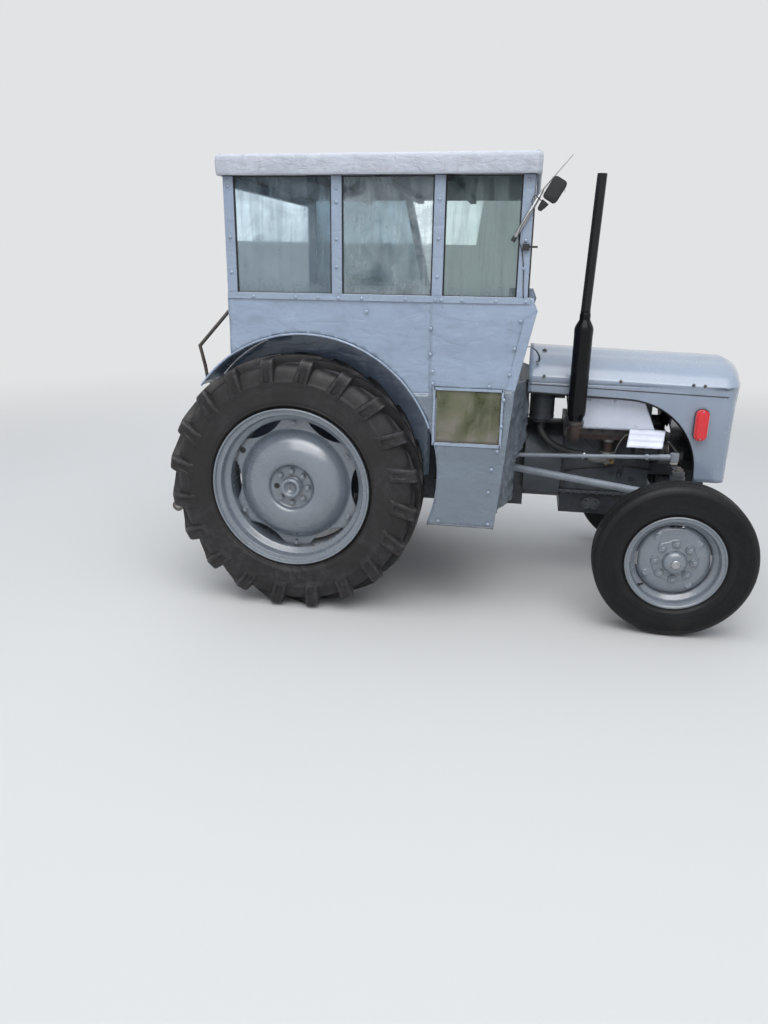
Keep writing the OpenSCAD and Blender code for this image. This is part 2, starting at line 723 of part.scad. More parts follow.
module battery() {
    battery_low = bonnet_top - 262;
    color(black_paint) from_axle() {
        block([gearbox_front + 16, -84, battery_low], [engine_back - 3, 150, battery_low + 180]);
        block([gearbox_front + 16, -60, bell_z + bell_r + seat_gap], [gearbox_front + 30, 60, battery_low + 1]);
    }
}

// Bonnet: a crowned top over upright sides, cut away over the engine, with the nose in one with it
section_drop = 500;
nose_high = bonnet_top - 132;
nose_low = 650;
nose_back = 30;
module bonnet_section(inset) {
    hw = bonnet_w / 2 - inset;
    top = bonnet_top - inset;
    side = crease_z - inset / 2;
    polygon([[-hw, -section_drop], [-hw, side], [-hw + 36, side + 38], [-hw + 96, side + 74],
             [-hw + 180, top - 22], [-hw + 250, top - 4], [0, top], [hw - 250, top - 4], [hw - 180, top - 22],
             [hw - 96, side + 74], [hw - 36, side + 38], [hw, side], [hw, -section_drop]]);
}

function bonnet_line(x) = bonnet_top - tan(bonnet_fall) * (x - bonnet_back + 20);
nose_top = bonnet_line(nose_front - 92) - 5;
module bonnet_body(inset) {
    back = bonnet_back - (inset > 0 ? 20 : 0);
    under = nose_low - 150;
    over = bonnet_top + 150;
    hw = bonnet_w / 2;
    intersection() {
        translate([bonnet_back - 20, 0, 0]) rotate([0, bonnet_fall, 0]) rotate([90, 0, 90])
            linear_extrude(nose_front - bonnet_back + 90) bonnet_section(inset);
        side_plate(-bonnet_w, bonnet_w) polygon([
            [back, under], [back, over], [nose_front - 200 - inset, over],
            [nose_front - 140 - inset, nose_top + 8 - inset], [nose_front - 92 - inset / 2, nose_top - inset],
            [nose_front - 40 - inset / 2, nose_top - 20 - inset],
            [nose_front - 12 - inset, nose_top - 52 - inset / 2], [nose_front - inset, nose_high],
            [nose_front - inset - nose_back, nose_low], [nose_front - inset - nose_back, under]]);
        // plan of the nose: rounded towards the front
        translate([0, 0, under]) linear_extrude(over - under) polygon([
            [bonnet_back - 100, -bonnet_w], [nose_front - 262, -bonnet_w], [nose_front - 97, -hw + inset],
            [nose_front - 52, -hw + 34 + inset], [nose_front - 24 - inset, -hw + 120],
            [nose_front - 6 - inset, -hw + 190], [nose_front - inset, 0],
            [nose_front - 6 - inset, hw - 190], [nose_front - 24 - inset, hw - 120],
            [nose_front - 52, hw - 34 - inset], [nose_front - 97, hw - inset],
            [nose_front - 262, bonnet_w], [bonnet_back - 100, bonnet_w]]);
    }
}

// Outline, from the side, of what is open under the bonnet: a level edge that turns down in an arch
arch_back = 204;
arch_r = 344;
arch_top = 1033;
module engine_opening() {
    arch_x = nose_front - arch_back;
    arch_z = arch_top - arch_r;
    polygon(concat([[bonnet_back - 200, 300], [bonnet_back - 200, arch_top + 16]],
                   [for (i = [0 : 12]) let(a = 90 - i * 7.5) [arch_x + arch_r * (cos(a) - 1), arch_z + arch_r * sin(a)]],
                   [[arch_x, 300]]));
}

grille_w = 300;
grille_low = 700;
grille_high = 1110;
grille_pitch = 21;
module bonnet() {
    color(paint) from_axle() difference() {
        bonnet_body(0);
        difference() {
            bonnet_body(bonnet_t);
            both_sides() block([hinge_x - 30, -bonnet_w / 2, 500], [hinge_x + 34, -hinge_y + 18, hinge_z + 40]);
        }
        side_plate(-400, 400) engine_opening();
        block([nose_front - 282, -400, 300], [nose_front + 118, 400, nose_low]);
        block([nose_front - 82, -grille_w / 2, grille_low], [nose_front + 118, grille_w / 2, grille_high]);
        disc_y(hinge_x, hinge_z, hinge_pin_r + bearing_gap, -hinge_y - 2, hinge_y + 2);
    }
}

module grille() {
    hw = grille_w / 2 - seat_gap;
    low = grille_low + 1;
    high = grille_high - 1;
    slope = atan2(nose_back, nose_high - nose_low);
    color(paint) from_axle() translate([nose_front - 24, 0, nose_high]) rotate([0, slope, 0]) translate([0, 0, -nose_high]) {
        for (i = [-6 : 6]) block([0, i * grille_pitch - 4, low], [8, i * grille_pitch + 4, high]);
        for (z = [low, (low + high) / 2, high - 12]) block([0, -hw, z], [8, hw, z + 12]);
        for (s = [-1, 1]) block([0, s * (hw - 5) - 5, low], [8, s * (hw - 5) + 5, high]);
    }
}

// Side marker lamps: red to the rear, clear to the front
lamp_x = nose_front - 198;
lamp_z = 930;
lamp_w = 64;
lamp_h = 150;
lamp_d = 42;
module marker_lamps() {
    out = bonnet_w / 2 + seat_gap;
    straight = lamp_h - lamp_w;
    color([0.75, 0.08, 0.08]) from_axle() both_sides() side_plate(-out - lamp_d, -out) translate([lamp_x, lamp_z]) {
        square([lamp_w, straight], center = true);
        for (s = [-1, 1]) translate([0, s * straight / 2]) circle(d = lamp_w);
    }
}

dash_x = cab_front - 42;
module dash() {
    color(paint) from_axle() {
        block([dash_x, -180, box_low + 122], [dash_x + 14, 180, 1226]);
        block([dash_x - 22, -100, 1120], [dash_x, 100, 1200]);
        block([dash_x, -60, box_low], [dash_x + 14, 60, box_low + 123]);
    }
}

seat_z = 1000;
module seat() {
    color(paint) from_axle() {
        translate([60, 0, 930]) cylinder(h = seat_z - 929, r = 24);
        difference() {
            translate([40, 0, seat_z]) intersection() {
                cylinder(h = 90, r1 = 190, r2 = 225);
                block([-215, -225, 0], [180, 225, 90]);
            }
            translate([48, 0, seat_z + 10]) cylinder(h = 90, r1 = 176, r2 = 216);
            block([150, -300, seat_z + 40], [400, 300, seat_z + 200]);
        }
    }
}

pedal_x = gearbox_front - 360;
module levers() {
    color(black_paint) from_axle() {
        translate([470, 0, 800]) cylinder(h = 22, r = 46);
        rod([470, 0, 820], [430, 0, 1010], 9);
        translate([430, 0, 1020]) sphere(r = 20);
        both_sides() {
            block([pedal_x - 10, -176, 800], [pedal_x + 10, -120, 812]);
            rod([pedal_x, -168, 806], [pedal_x + 140, -168, 700], 8);
            rod([pedal_x, -168, 806], [pedal_x - 70, -200, 560], 8);
            block([pedal_x - 100, -236, 556], [pedal_x - 20, -164, 566]);
        }
    }
}

module foot_boards() {
    back = tyre_front_x() + 18;
    color([0.30, 0.31, 0.32]) from_axle() both_sides() {
        block([back, -panel_in + seat_gap, floor_z - 14], [cab_front - 92, -gearbox_w / 2, floor_z]);
    }
}

// How far forward the rear tyre reaches
function tyre_front_x() = rear_tyre_r + 12;

// Mudguards: an arched cover over each rear wheel with its inner wall, standing on the axle tubes
guard_x = 60;
guard_z = 700;
guard_in = 430;
guard_from = 21;
guard_to = 143;
module guard_sector(r) {
    polygon(concat([[0, 0]], [for (i = [0 : 16]) let(a = guard_from + (guard_to - guard_from) * i / 16) [r * cos(a), r * sin(a)]]));
}

module mudguards() {
    color(paint) from_axle() both_sides() difference() {
        union() {
            translate([guard_x, 0, guard_z]) side_plate(-cab_y, -guard_in) intersection() {
                difference() {
                    circle(r = guard_r, $fn = 128);
                    circle(r = guard_r - guard_t, $fn = 128);
                }
                guard_sector(guard_r * 1.3);
            }
            translate([guard_x, 0, guard_z]) side_plate(-guard_in - guard_t, -guard_in) intersection() {
                circle(r = guard_r - 2, $fn = 128);
                union() {
                    guard_sector(guard_r * 1.3);
                    translate([-500, -60]) square([1060, 420]);
                }
            }
        }
        disc_y(0, rear_tyre_r, tube_r(guard_in) + seat_gap, -guard_in - 40, -guard_in + 40);
    }
}

// Stations of the cab's posts, back to front
rail_t = 24;
rail_h = 34;
seam_x = guard_x + guard_r - 43;
post_x = [cab_back, cab_back + 481, seam_x - 9, cab_front - post_w - 6];

// The front edge of the side sheets leans forward from its foot to the kink, then back to the sill
kink_z = sill_z - 52;
kink_x = cab_front + 38;
cheek_low_z = sill_z - 388;
cheek_low_x = cab_front - 34;
function front_edge(z) = cheek_low_x + (kink_x - cheek_low_x) * (z - cheek_low_z) / (kink_z - cheek_low_z);
front_sill_z = sill_z - 170;
side_low = sill_z - 420;
front_sill_h = 36;

// On the left a doorway runs from the slanted post to the strip by the front post
door_back = 462;
door_front = cab_front - 118;
door_lean = 117;

module cab_frame() {
    color(paint) from_axle() {
        for (i = [0 : 3]) block([post_x[i], -cab_y, sill_z], [post_x[i] + post_w, -cab_y + post_t, roof_z]);
        for (i = [0, 3]) block([post_x[i], cab_y - post_t, sill_z], [post_x[i] + post_w, cab_y, roof_z]);
        side_plate(cab_y - post_t, cab_y) door_post();
        block([cab_back, -panel_in, sill_z - rail_h], [cab_front, -panel_in + rail_t, sill_z]);
        block([cab_back, panel_in - rail_t, sill_z - rail_h], [door_back, panel_in, sill_z]);
        both_sides() side_plate(-panel_in, -panel_in + rail_t) polygon([
            [cheek_low_x - 58, cheek_low_z], [cheek_low_x - 14, cheek_low_z], [cab_front - 6, front_sill_z],
            [cab_front - 6, sill_z + eps], [post_x[3], sill_z + eps], [post_x[3], front_sill_z]]);
        for (x = [cab_back, cab_front - 30])
            block([x, -cab_y + post_t - eps, roof_z - 40], [x + 30, cab_y - post_t + eps, roof_z]);
        block([cab_front - 30, -panel_in + rail_t - eps, front_sill_z],
              [cab_front, panel_in - rail_t + eps, front_sill_z + front_sill_h]);
    }
}

// Outline of the leaning post behind the doorway
module door_post() {
    foot = door_back - post_w;
    polygon([[foot, sill_z], [door_back, sill_z], [door_back - door_lean, roof_z], [foot - door_lean, roof_z]]);
}

// Outline of the pane between the left back post and the leaning one
module left_pane() {
    foot = door_back - post_w;
    back = cab_back + post_w;
    polygon([[back, sill_z], [foot, sill_z], [foot - door_lean, roof_z], [back, roof_z]]);
}

module cab_roof() {
    color(white_paint) from_axle()
        block([cab_back - roof_over, -cab_y - 40, roof_z], [cab_front + roof_over, cab_y + 40, roof_z + roof_h]);
}

// A side, as one outline: arched over the wheel, down to the foot boards in front of it
low_pane = [[seam_x + 17, cheek_low_z - 255], [cab_front - 82, cheek_low_z - 6]];
module side_outline() {
    difference() {
        polygon([[cab_back, sill_z], [cab_front + 16, sill_z], [kink_x, kink_z], [cheek_low_x, cheek_low_z],
                 [cab_front - 91, floor_z], [seam_x - 100, floor_z], [cab_back, 700]]);
        translate([guard_x, guard_z]) circle(r = guard_r + seat_gap, $fn = 128);
    }
}

// A piece of a side between two stations and two heights
module side_piece(from, to) {
    intersection() {
        side_outline();
        translate(from) square(to - from);
    }
}

// Right side: three sheets that meet at the seam and over the low pane
module cab_side_right() {
    color(paint) from_axle() side_plate(-cab_y, -panel_in)
        side_piece([cab_back, side_low], [seam_x - seat_gap, sill_z]);
}

module cab_cheek_right() {
    color(paint) from_axle() side_plate(-cab_y, -panel_in)
        side_piece([seam_x, cheek_low_z - 6], [kink_x, sill_z]);
}

module cab_skirt_right() {
    color(paint) from_axle() side_plate(-cab_y, -panel_in) difference() {
        side_piece([seam_x - 100, floor_z], [kink_x, cheek_low_z - 6 - seat_gap]);
        translate([seam_x - 200, side_low]) square([200, 400]);
        translate(low_pane[0]) square(low_pane[1] - low_pane[0]);
    }
}

// Left side: a sheet over the mudguard and a strip by the front post
module cab_side_left() {
    color(paint) from_axle() side_plate(panel_in, cab_y) {
        side_piece([cab_back, side_low], [door_back, sill_z]);
        side_piece([door_front, floor_z], [kink_x, sill_z]);
    }
}

// Front wall below the windscreen, cut out where the bonnet meets it
module cab_front_wall() {
    top = front_sill_z + front_sill_h;
    half = panel_in - seat_gap;
    cut = bonnet_w / 2 - 14;
    color(paint) from_axle() difference() {
        side_plate(-half, half) polygon([
            [front_edge(cheek_low_z) - panel_t, cheek_low_z], [front_edge(cheek_low_z), cheek_low_z],
            [front_edge(top), top], [front_edge(top) - panel_t, top]]);
        translate([cab_front - 200, 0, 0]) rotate([90, 0, 90]) linear_extrude(400) polygon([
            [-cut, 1000], [-cut, crease_z - 8], [-cut + 96, crease_z + 66], [-cut + 180, bonnet_top - 34],
            [cut - 180, bonnet_top - 34], [cut - 96, crease_z + 66], [cut, crease_z - 8], [cut, 1000]]);
    }
}

// Panes, let into the frame
module cab_panes() {
    inset = cab_y - post_t / 2 - pane_t / 2;
    color(pane) from_axle() {
        for (i = [0 : 2]) block([post_x[i] + post_w, -inset - pane_t, sill_z], [post_x[i + 1], -inset, roof_z]);
        side_plate(inset, inset + pane_t) left_pane();
        block([cab_front - 18, -panel_in + rail_t, front_sill_z + front_sill_h], [cab_front - 12, panel_in - rail_t, roof_z - 40]);
        block([low_pane[0][0], -cab_y + 3, low_pane[0][1]], [low_pane[1][0], -cab_y + 3 + pane_t, low_pane[1][1]]);
    }
}

// Loose sheets from the side panels in towards the gearbox: the lower ones stop short of the rods
flap_t = 5;
flap_low = 520;
flap_split = 786;
flap_short = 170;
flap_from = [cab_front - 108, panel_in - 2];
flap_to = [gearbox_front + 8, bell_r + 22];
module cab_flaps() {
    d = flap_to - flap_from;
    color(cloth_grey) from_axle() both_sides()
        translate([flap_from[0], -flap_from[1], 0]) rotate([90, 0, atan2(-d[1], d[0])]) translate([0, 0, -flap_t / 2])
            linear_extrude(flap_t) {
                translate([0, flap_split]) square([norm(d), cheek_low_z - seat_gap - flap_split]);
                translate([0, flap_low]) square([norm(d) - flap_short, flap_split - seat_gap - flap_low]);
            }
}

// Small lamp on its rod, on the front post
module cab_lamp() {
    y = -cab_y;
    color(black_paint) from_axle() {
        rod([cab_front - 22, y - 11, 1700], [cab_front + 34, y - 11, 1880], 6);
        rod([cab_front + 34, y - 11, 1880], [cab_front + 66, y - 11, 1950], 4);
        block([cab_front - 40, y - 10, 1690], [cab_front - 10, y, 1716]);
        block([cab_front + 20, y - 34, 1868], [cab_front + 118, y - 16.5, 1966]);
    }
}

// Lift arms on their cross shaft
arm_angle = -20;
arm_end = [cross_x - lift_arm_len * cos(arm_angle), cross_z + lift_arm_len * sin(arm_angle)];
arm_y = housing_w / 2 + 16;
module lift_arms() {
    color(cast_grey) from_axle() {
        disc_y(cross_x, cross_z, lift_shaft_r, -arm_y - 12, arm_y + 12);
        both_sides() difference() {
            union() {
                disc_y(cross_x, cross_z, 40, -arm_y - 10, -arm_y + 10);
                translate([0, -arm_y, 0]) flat_bar([cross_x, 0, cross_z], [arm_end[0], 0, arm_end[1]], 40, 18);
                disc_y(arm_end[0], arm_end[1], 24, -arm_y - 10, -arm_y + 10);
            }
            disc_y(arm_end[0], arm_end[1], pin_r + bearing_gap, -arm_y - 20, -arm_y + 20);
        }
    }
}

// Lower links: pivot at the axle housing, ball at the tip
ball_r = 30;
link_tip = [-link_reach + ball_r, link_spread / 2, 366];
link_mid = [for (k = [0 : 2]) lower_pin[k] + (link_tip[k] - lower_pin[k]) * 0.46];
link_bar_r = 11;
link_stud_r = 8;
module lower_links() {
    color(paint) from_axle() both_sides() difference() {
        union() {
            disc_y(lower_pin[0], lower_pin[2], 26, -lower_pin[1] - 11, -lower_pin[1] + 11);
            rod([lower_pin[0], -lower_pin[1], lower_pin[2]], [link_tip[0], -link_tip[1], link_tip[2]], link_bar_r);
            disc_y(link_mid[0], link_mid[2], link_stud_r, -link_mid[1] - fork_half - 10, -link_mid[1] + fork_half + 10);
            disc_y(link_tip[0], link_tip[2], ball_r, -link_tip[1] - 20, -link_tip[1] + 20);
        }
        disc_y(lower_pin[0], lower_pin[2], pin_r + bearing_gap, -lower_pin[1] - 40, -lower_pin[1] + 40);
        disc_y(link_tip[0], link_tip[2], link_pin_r, -link_tip[1] - 50, -link_tip[1] + 50);
    }
}

// Lift rods: pinned to the arms, forked over the lower links, the right one with its levelling crank
fork_half = 22;
fork_t = 8;
fork_eye_r = 24;
fork_slack = 7.5;
fork_top = 44;
module lift_rods() {
    y = arm_y + 24;
    low = [link_mid[0], -link_mid[1], link_mid[2] + fork_top + 5];
    top = [arm_end[0], -y, arm_end[1]];
    color(paint) from_axle() {
        both_sides() {
            disc_y(top[0], top[2], 24, -y - 12, -y + 12);
            disc_y(top[0], top[2], pin_r, -y - 12, -arm_y + 14);
            rod(top, low, 14);
            translate(link_mid_right()) difference() {
                union() {
                    block([-fork_eye_r, -fork_half - fork_t, fork_top], [fork_eye_r, fork_half + fork_t, fork_top + 12]);
                    for (s = [-1, 1]) translate([0, s * (fork_half + fork_t / 2), 0]) {
                        block([-fork_eye_r, -fork_t / 2, 0], [fork_eye_r, fork_t / 2, fork_top + eps]);
                        disc_y(0, 0, fork_eye_r, -fork_t / 2, fork_t / 2);
                    }
                }
                disc_y(0, 0, link_stud_r + fork_slack, -100, 100);
            }
        }
        bent_rod([top, top + [-46, -10, 80], [-590, -y - 40, 1035], [-600, -y - 42, 1112],
                  [-622, -y - 42, 1212], [-452, -y - 42, 1392]], 9);
    }
}

function link_mid_right() = [link_mid[0], -link_mid[1], link_mid[2]];

engine();
manifold();
heat_shield();
dynamo();
air_intake();
exhaust();
fan();
radiator();
fuel_tank();
battery();
front_support();
front_axle();
radius_rods();
transmission();
rear_hitch();
steering_box();
steering_wheel();
drop_arm("right");  // drop_arm_right
drop_arm("left");  // drop_arm_left
drag_link("right");  // drag_link_right
drag_link("left");  // drag_link_left
knuckle("right");  // knuckle_right
knuckle("left");  // knuckle_left
front_wheel("right");  // front_wheel_right
front_wheel("left");  // front_wheel_left
front_tyre("right");  // front_tyre_right
front_tyre("left");  // front_tyre_left
rear_wheel("right");  // rear_wheel_right
rear_wheel("left");  // rear_wheel_left
rear_tyre("right");  // rear_tyre_right
rear_tyre("left");  // rear_tyre_left
bonnet();
grille();
marker_lamps();
dash();
seat();
levers();
foot_boards();
mudguards();
cab_frame();
cab_roof();
cab_side_right();
cab_cheek_right();
cab_skirt_right();
cab_side_left();
cab_front_wall();
cab_panes();
cab_flaps();
cab_lamp();
lift_arms();
lift_rods();
lower_links();
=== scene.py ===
"""Looks of the small grey tractor with its home-made cab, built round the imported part.

Lengths in the classes are millimetres. Stations along x are measured from the rear axle, as in the part's
source, and at() turns a place into the frame's metres.
"""

import logging
import math
from collections.abc import Callable, Iterator, Sequence
from contextlib import contextmanager
from dataclasses import dataclass, replace
from enum import Enum

import bpy
from mathutils import Matrix, Vector, noise
from mathutils.geometry import delaunay_2d_cdt

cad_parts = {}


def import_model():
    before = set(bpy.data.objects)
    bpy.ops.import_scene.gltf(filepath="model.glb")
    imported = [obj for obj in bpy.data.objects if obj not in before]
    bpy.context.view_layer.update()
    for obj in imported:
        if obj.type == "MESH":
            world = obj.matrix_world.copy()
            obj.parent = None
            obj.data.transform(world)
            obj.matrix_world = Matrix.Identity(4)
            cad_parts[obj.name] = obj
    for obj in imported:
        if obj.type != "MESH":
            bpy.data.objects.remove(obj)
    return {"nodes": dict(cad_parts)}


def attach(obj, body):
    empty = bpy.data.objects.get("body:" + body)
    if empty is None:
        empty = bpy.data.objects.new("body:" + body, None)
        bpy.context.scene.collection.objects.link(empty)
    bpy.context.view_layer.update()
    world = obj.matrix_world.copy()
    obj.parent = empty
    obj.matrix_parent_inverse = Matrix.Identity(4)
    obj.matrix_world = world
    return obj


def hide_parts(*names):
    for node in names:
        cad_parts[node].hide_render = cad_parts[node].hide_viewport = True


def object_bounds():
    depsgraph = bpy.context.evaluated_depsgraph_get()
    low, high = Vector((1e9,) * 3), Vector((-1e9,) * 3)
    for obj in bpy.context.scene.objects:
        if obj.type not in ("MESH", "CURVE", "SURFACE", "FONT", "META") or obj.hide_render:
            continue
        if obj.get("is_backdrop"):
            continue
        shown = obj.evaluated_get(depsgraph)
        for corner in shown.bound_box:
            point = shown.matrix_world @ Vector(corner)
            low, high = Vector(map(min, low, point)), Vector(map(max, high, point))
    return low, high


LOG = logging.getLogger("tractor")
MIDDLE = 679.5  # station of the frame's origin, in millimetres
ROUNDED_FROM = 38  # edges sharper than this many degrees are rounded
KEPT_CREASE = 32  # the same for the shading of CAD nodes that stay shown
WELD_DISTANCE = 0.0006  # metres

Spot = tuple[float, float, float]
Outline = list[tuple[float, float]]
Colour = tuple[float, float, float, float]


def at(x: float, y: float, z: float) -> Vector:
    """Turns a place in millimetres from the rear axle's station into the frame's metres.

    Args:
        x: Forward from the rear axle.
        y: To the tractor's left.
        z: Up from the ground.

    Returns:
        The place in metres.
    """
    return Vector(((x - MIDDLE) / 1000, y / 1000, z / 1000))


def tint(red: int, green: int, blue: int) -> Colour:
    """Turns a display colour from 0 to 255 into a linear one.

    Args:
        red: Red.
        green: Green.
        blue: Blue.

    Returns:
        The linear colour with full alpha.
    """
    parts = []
    for value in (red, green, blue):
        share = value / 255
        parts.append(share / 12.92 if share <= 0.04045 else ((share + 0.055) / 1.055) ** 2.4)
    return (parts[0], parts[1], parts[2], 1.0)


def mix(low: float, high: float, share: float) -> float:
    """Returns the value that lies the given share of the way from low to high."""
    return low + (high - low) * share


def ease(low: float, high: float, value: float) -> float:
    """Returns 0 below low, 1 above high, and a smooth step between."""
    share = min(1.0, max(0.0, (value - low) / (high - low)))
    return share * share * (3 - 2 * share)


def ripple(x: float, y: float, z: float, size: float) -> float:
    """Returns smooth noise from about -1 to 1 that changes over the given size in millimetres."""
    return noise.noise(Vector((x / size, y / size, z / size)))


def turned(axis: str, degrees: float) -> Matrix:
    """Returns a turn about X, Y or Z."""
    return Matrix.Rotation(math.radians(degrees), 4, axis)


def moved(x: float, y: float, z: float) -> Matrix:
    """Returns a move in millimetres."""
    return Matrix.Translation((x, y, z))


def smooth_path(points: Sequence[Spot], per: int = 6) -> list[Vector]:
    """Draws a smooth curve through points.

    Args:
        points: The points that it passes.
        per: Steps between two points.

    Returns:
        Points along the curve, both ends with them.
    """
    given = [Vector(p) for p in points]
    wide = [2 * given[0] - given[1], *given, 2 * given[-1] - given[-2]]
    path = []
    for index in range(1, len(wide) - 2):
        a, b, c, d = wide[index - 1 : index + 3]
        for step in range(per):
            t = step / per
            path.append(0.5 * (2 * b + (c - a) * t + (2 * a - 5 * b + 4 * c - d) * t * t
                               + (3 * b - a - 3 * c + d) * t * t * t))
    path.append(given[-1])
    return path


def inside(point: Vector, outline: Outline) -> bool:
    """Says whether a point lies inside an outline.

    Args:
        point: The point.
        outline: The outline's corners.

    Returns:
        True where it lies inside.
    """
    hit = False
    last = outline[-1]
    for here in outline:
        if (here[1] > point.y) != (last[1] > point.y):
            cross = (last[0] - here[0]) * (point.y - here[1]) / (last[1] - here[1]) + here[0]
            if point.x < cross:
                hit = not hit
        last = here
    return hit


def lerp_table(table: Sequence[tuple[float, ...]], key: float) -> list[float]:
    """Reads a table between its rows.

    Args:
        table: Rows that start with a rising key.
        key: The key to read at.

    Returns:
        The other columns at that key.
    """
    rows = list(table)
    if key <= rows[0][0]:
        return list(rows[0][1:])
    for low, high in zip(rows, rows[1:]):
        if key <= high[0]:
            share = (key - low[0]) / (high[0] - low[0])
            return [mix(a, b, share) for a, b in zip(low[1:], high[1:])]
    return list(rows[-1][1:])


def curve_profile(points: Sequence[tuple[float, float]], per: int = 3) -> list[tuple[float, float]]:
    """Rounds a profile of radius and height by a smooth curve through its points."""
    return [(p.x, p.y) for p in smooth_path([(r, h, 0) for r, h in points], per)]


def both_faces(half: Sequence[tuple[float, float]]) -> list[tuple[float, float]]:
    """Adds to a wheel profile's outer half the same points on the inner side, in the other order."""
    return [*half, *((r, -h) for r, h in reversed(half))]


def arc(x: float, z: float, radius: float, start: float, end: float, steps: int) -> Outline:
    """Returns points of an arc between two angles in degrees, both ends with them."""
    return [(x + radius * math.cos(math.radians(mix(start, end, k / steps))),
             z + radius * math.sin(math.radians(mix(start, end, k / steps)))) for k in range(steps + 1)]


def rounded(x: float, z: float, half_x: float, half_z: float, radius: float) -> Outline:
    """Returns a rectangle with rounded corners."""
    outline: Outline = []
    for cx, cz, start in ((x + half_x - radius, z + half_z - radius, 0),
                          (x - half_x + radius, z + half_z - radius, 90),
                          (x - half_x + radius, z - half_z + radius, 180),
                          (x + half_x - radius, z - half_z + radius, 270)):
        outline += arc(cx, cz, radius, start, start + 90, 5)
    return outline


def belt_path(pulleys: Sequence[tuple[float, float, float]]) -> Outline:
    """Returns the path of a belt round pulleys of given place and radius, as the hull of their rims."""
    points = sorted((y + dy, z + dz) for y, z, radius in pulleys for dy, dz in circle(radius, 40))
    hull: Outline = []
    for sweep in (points, points[::-1]):
        part: Outline = []
        for p in sweep:
            while len(part) > 1 and ((part[-1][0] - part[-2][0]) * (p[1] - part[-2][1])
                                     - (part[-1][1] - part[-2][1]) * (p[0] - part[-2][0])) <= 0:
                part.pop()
            part.append(p)
        hull += part[:-1]
    return hull


def polar(radius: float, degrees: float) -> tuple[float, float]:
    """Returns the place at a radius and an angle in degrees."""
    return (radius * math.cos(math.radians(degrees)), radius * math.sin(math.radians(degrees)))


def circle(radius: float, steps: int) -> Outline:
    """Returns points round a circle about the origin."""
    return [(radius * math.cos(2 * math.pi * k / steps), radius * math.sin(2 * math.pi * k / steps))
            for k in range(steps)]


def stepped(outline: Outline, spacing: float) -> Outline:
    """Returns points along a closed outline, about the spacing apart."""
    ring: Outline = []
    for i, (u, v) in enumerate(outline):
        p, q = outline[(i + 1) % len(outline)]
        parts = max(1, round(math.hypot(p - u, q - v) / spacing))
        ring += [(mix(u, p, k / parts), mix(v, q, k / parts)) for k in range(parts)]
    return ring


def round_edges(shape: bpy.types.Object, width: float, harden: bool) -> None:
    """Rounds an object's sharp edges.

    Args:
        shape: The object.
        width: The rounding's width in millimetres, or 0 for none.
        harden: Whether flat faces stay flat in shading.
    """
    if not width:
        return
    rounding = shape.modifiers.new("rounding", "BEVEL")
    rounding.width = width / 1000
    rounding.segments = 2
    rounding.limit_method = "ANGLE"
    rounding.angle_limit = math.radians(ROUNDED_FROM)
    rounding.harden_normals = harden


class Wiring:
    """Adds nodes to a node tree and links them by socket name."""

    def __init__(self, tree: bpy.types.NodeTree) -> None:
        """Keeps the tree.

        Args:
            tree: The tree that gets the nodes.
        """
        self.tree = tree

    def node(self, kind: str, inputs: dict | None = None, **settings: object) -> bpy.types.Node:
        """Adds a node.

        Args:
            kind: The node's type after "ShaderNode".
            inputs: Socket names or numbers, with the values or sockets that they get.
            settings: The node's own settings.

        Returns:
            The new node.
        """
        made = self.tree.nodes.new("ShaderNode" + kind)
        for name, value in settings.items():
            setattr(made, name, value)
        for key, value in (inputs or {}).items():
            if isinstance(value, bpy.types.NodeSocket):
                self.tree.links.new(value, made.inputs[key])
            else:
                made.inputs[key].default_value = value
        return made

    def calc(self, how: str, first: object, second: object, clamp: bool = False) -> bpy.types.NodeSocket:
        """Adds a Math node and returns its result."""
        return self.node("Math", {0: first, 1: second}, operation=how, use_clamp=clamp).outputs[0]

    def times(self, first: object, second: object, clamp: bool = False) -> bpy.types.NodeSocket:
        """Multiplies two values."""
        return self.calc("MULTIPLY", first, second, clamp)

    def plus(self, first: object, second: object, clamp: bool = False) -> bpy.types.NodeSocket:
        """Adds two values."""
        return self.calc("ADD", first, second, clamp)

    def larger(self, first: object, second: object) -> bpy.types.NodeSocket:
        """Returns the larger of two values."""
        return self.calc("MAXIMUM", first, second)

    def shown(self) -> bpy.types.NodeSocket:
        """Says whether a surface is seen by the camera, in a reflection or through glass."""
        rays = self.node("LightPath").outputs
        return self.larger(rays["Is Camera Ray"],
                           self.larger(rays["Is Glossy Ray"], rays["Is Transmission Ray"]))

    def spread(self, value: object, low: float, high: float, to_low: object = 0.0,
               to_high: object = 1.0) -> bpy.types.NodeSocket:
        """Adds a Map Range node that runs smoothly between two levels and returns its result."""
        made = self.node("MapRange", {"Value": value, "From Min": low, "From Max": high, "To Min": to_low,
                                      "To Max": to_high}, interpolation_type="SMOOTHSTEP")
        return made.outputs[0]

    def blend(self, share: object, first: object, second: object, how: str = "MIX") -> bpy.types.NodeSocket:
        """Adds a Mix node for colours and returns its result."""
        made = self.node("Mix", {0: share, 6: first, 7: second}, data_type="RGBA", blend_type=how)
        return made.outputs[2]

    def grain(self, where: object, scale: object, detail: float = 3.0, rough: float = 0.55,
              twist: float = 0.0) -> bpy.types.NodeSocket:
        """Adds a Noise Texture node and returns its value."""
        made = self.node("TexNoise", {"Vector": where, "Scale": scale, "Detail": detail, "Roughness": rough,
                                      "Distortion": twist})
        return made.outputs[0]


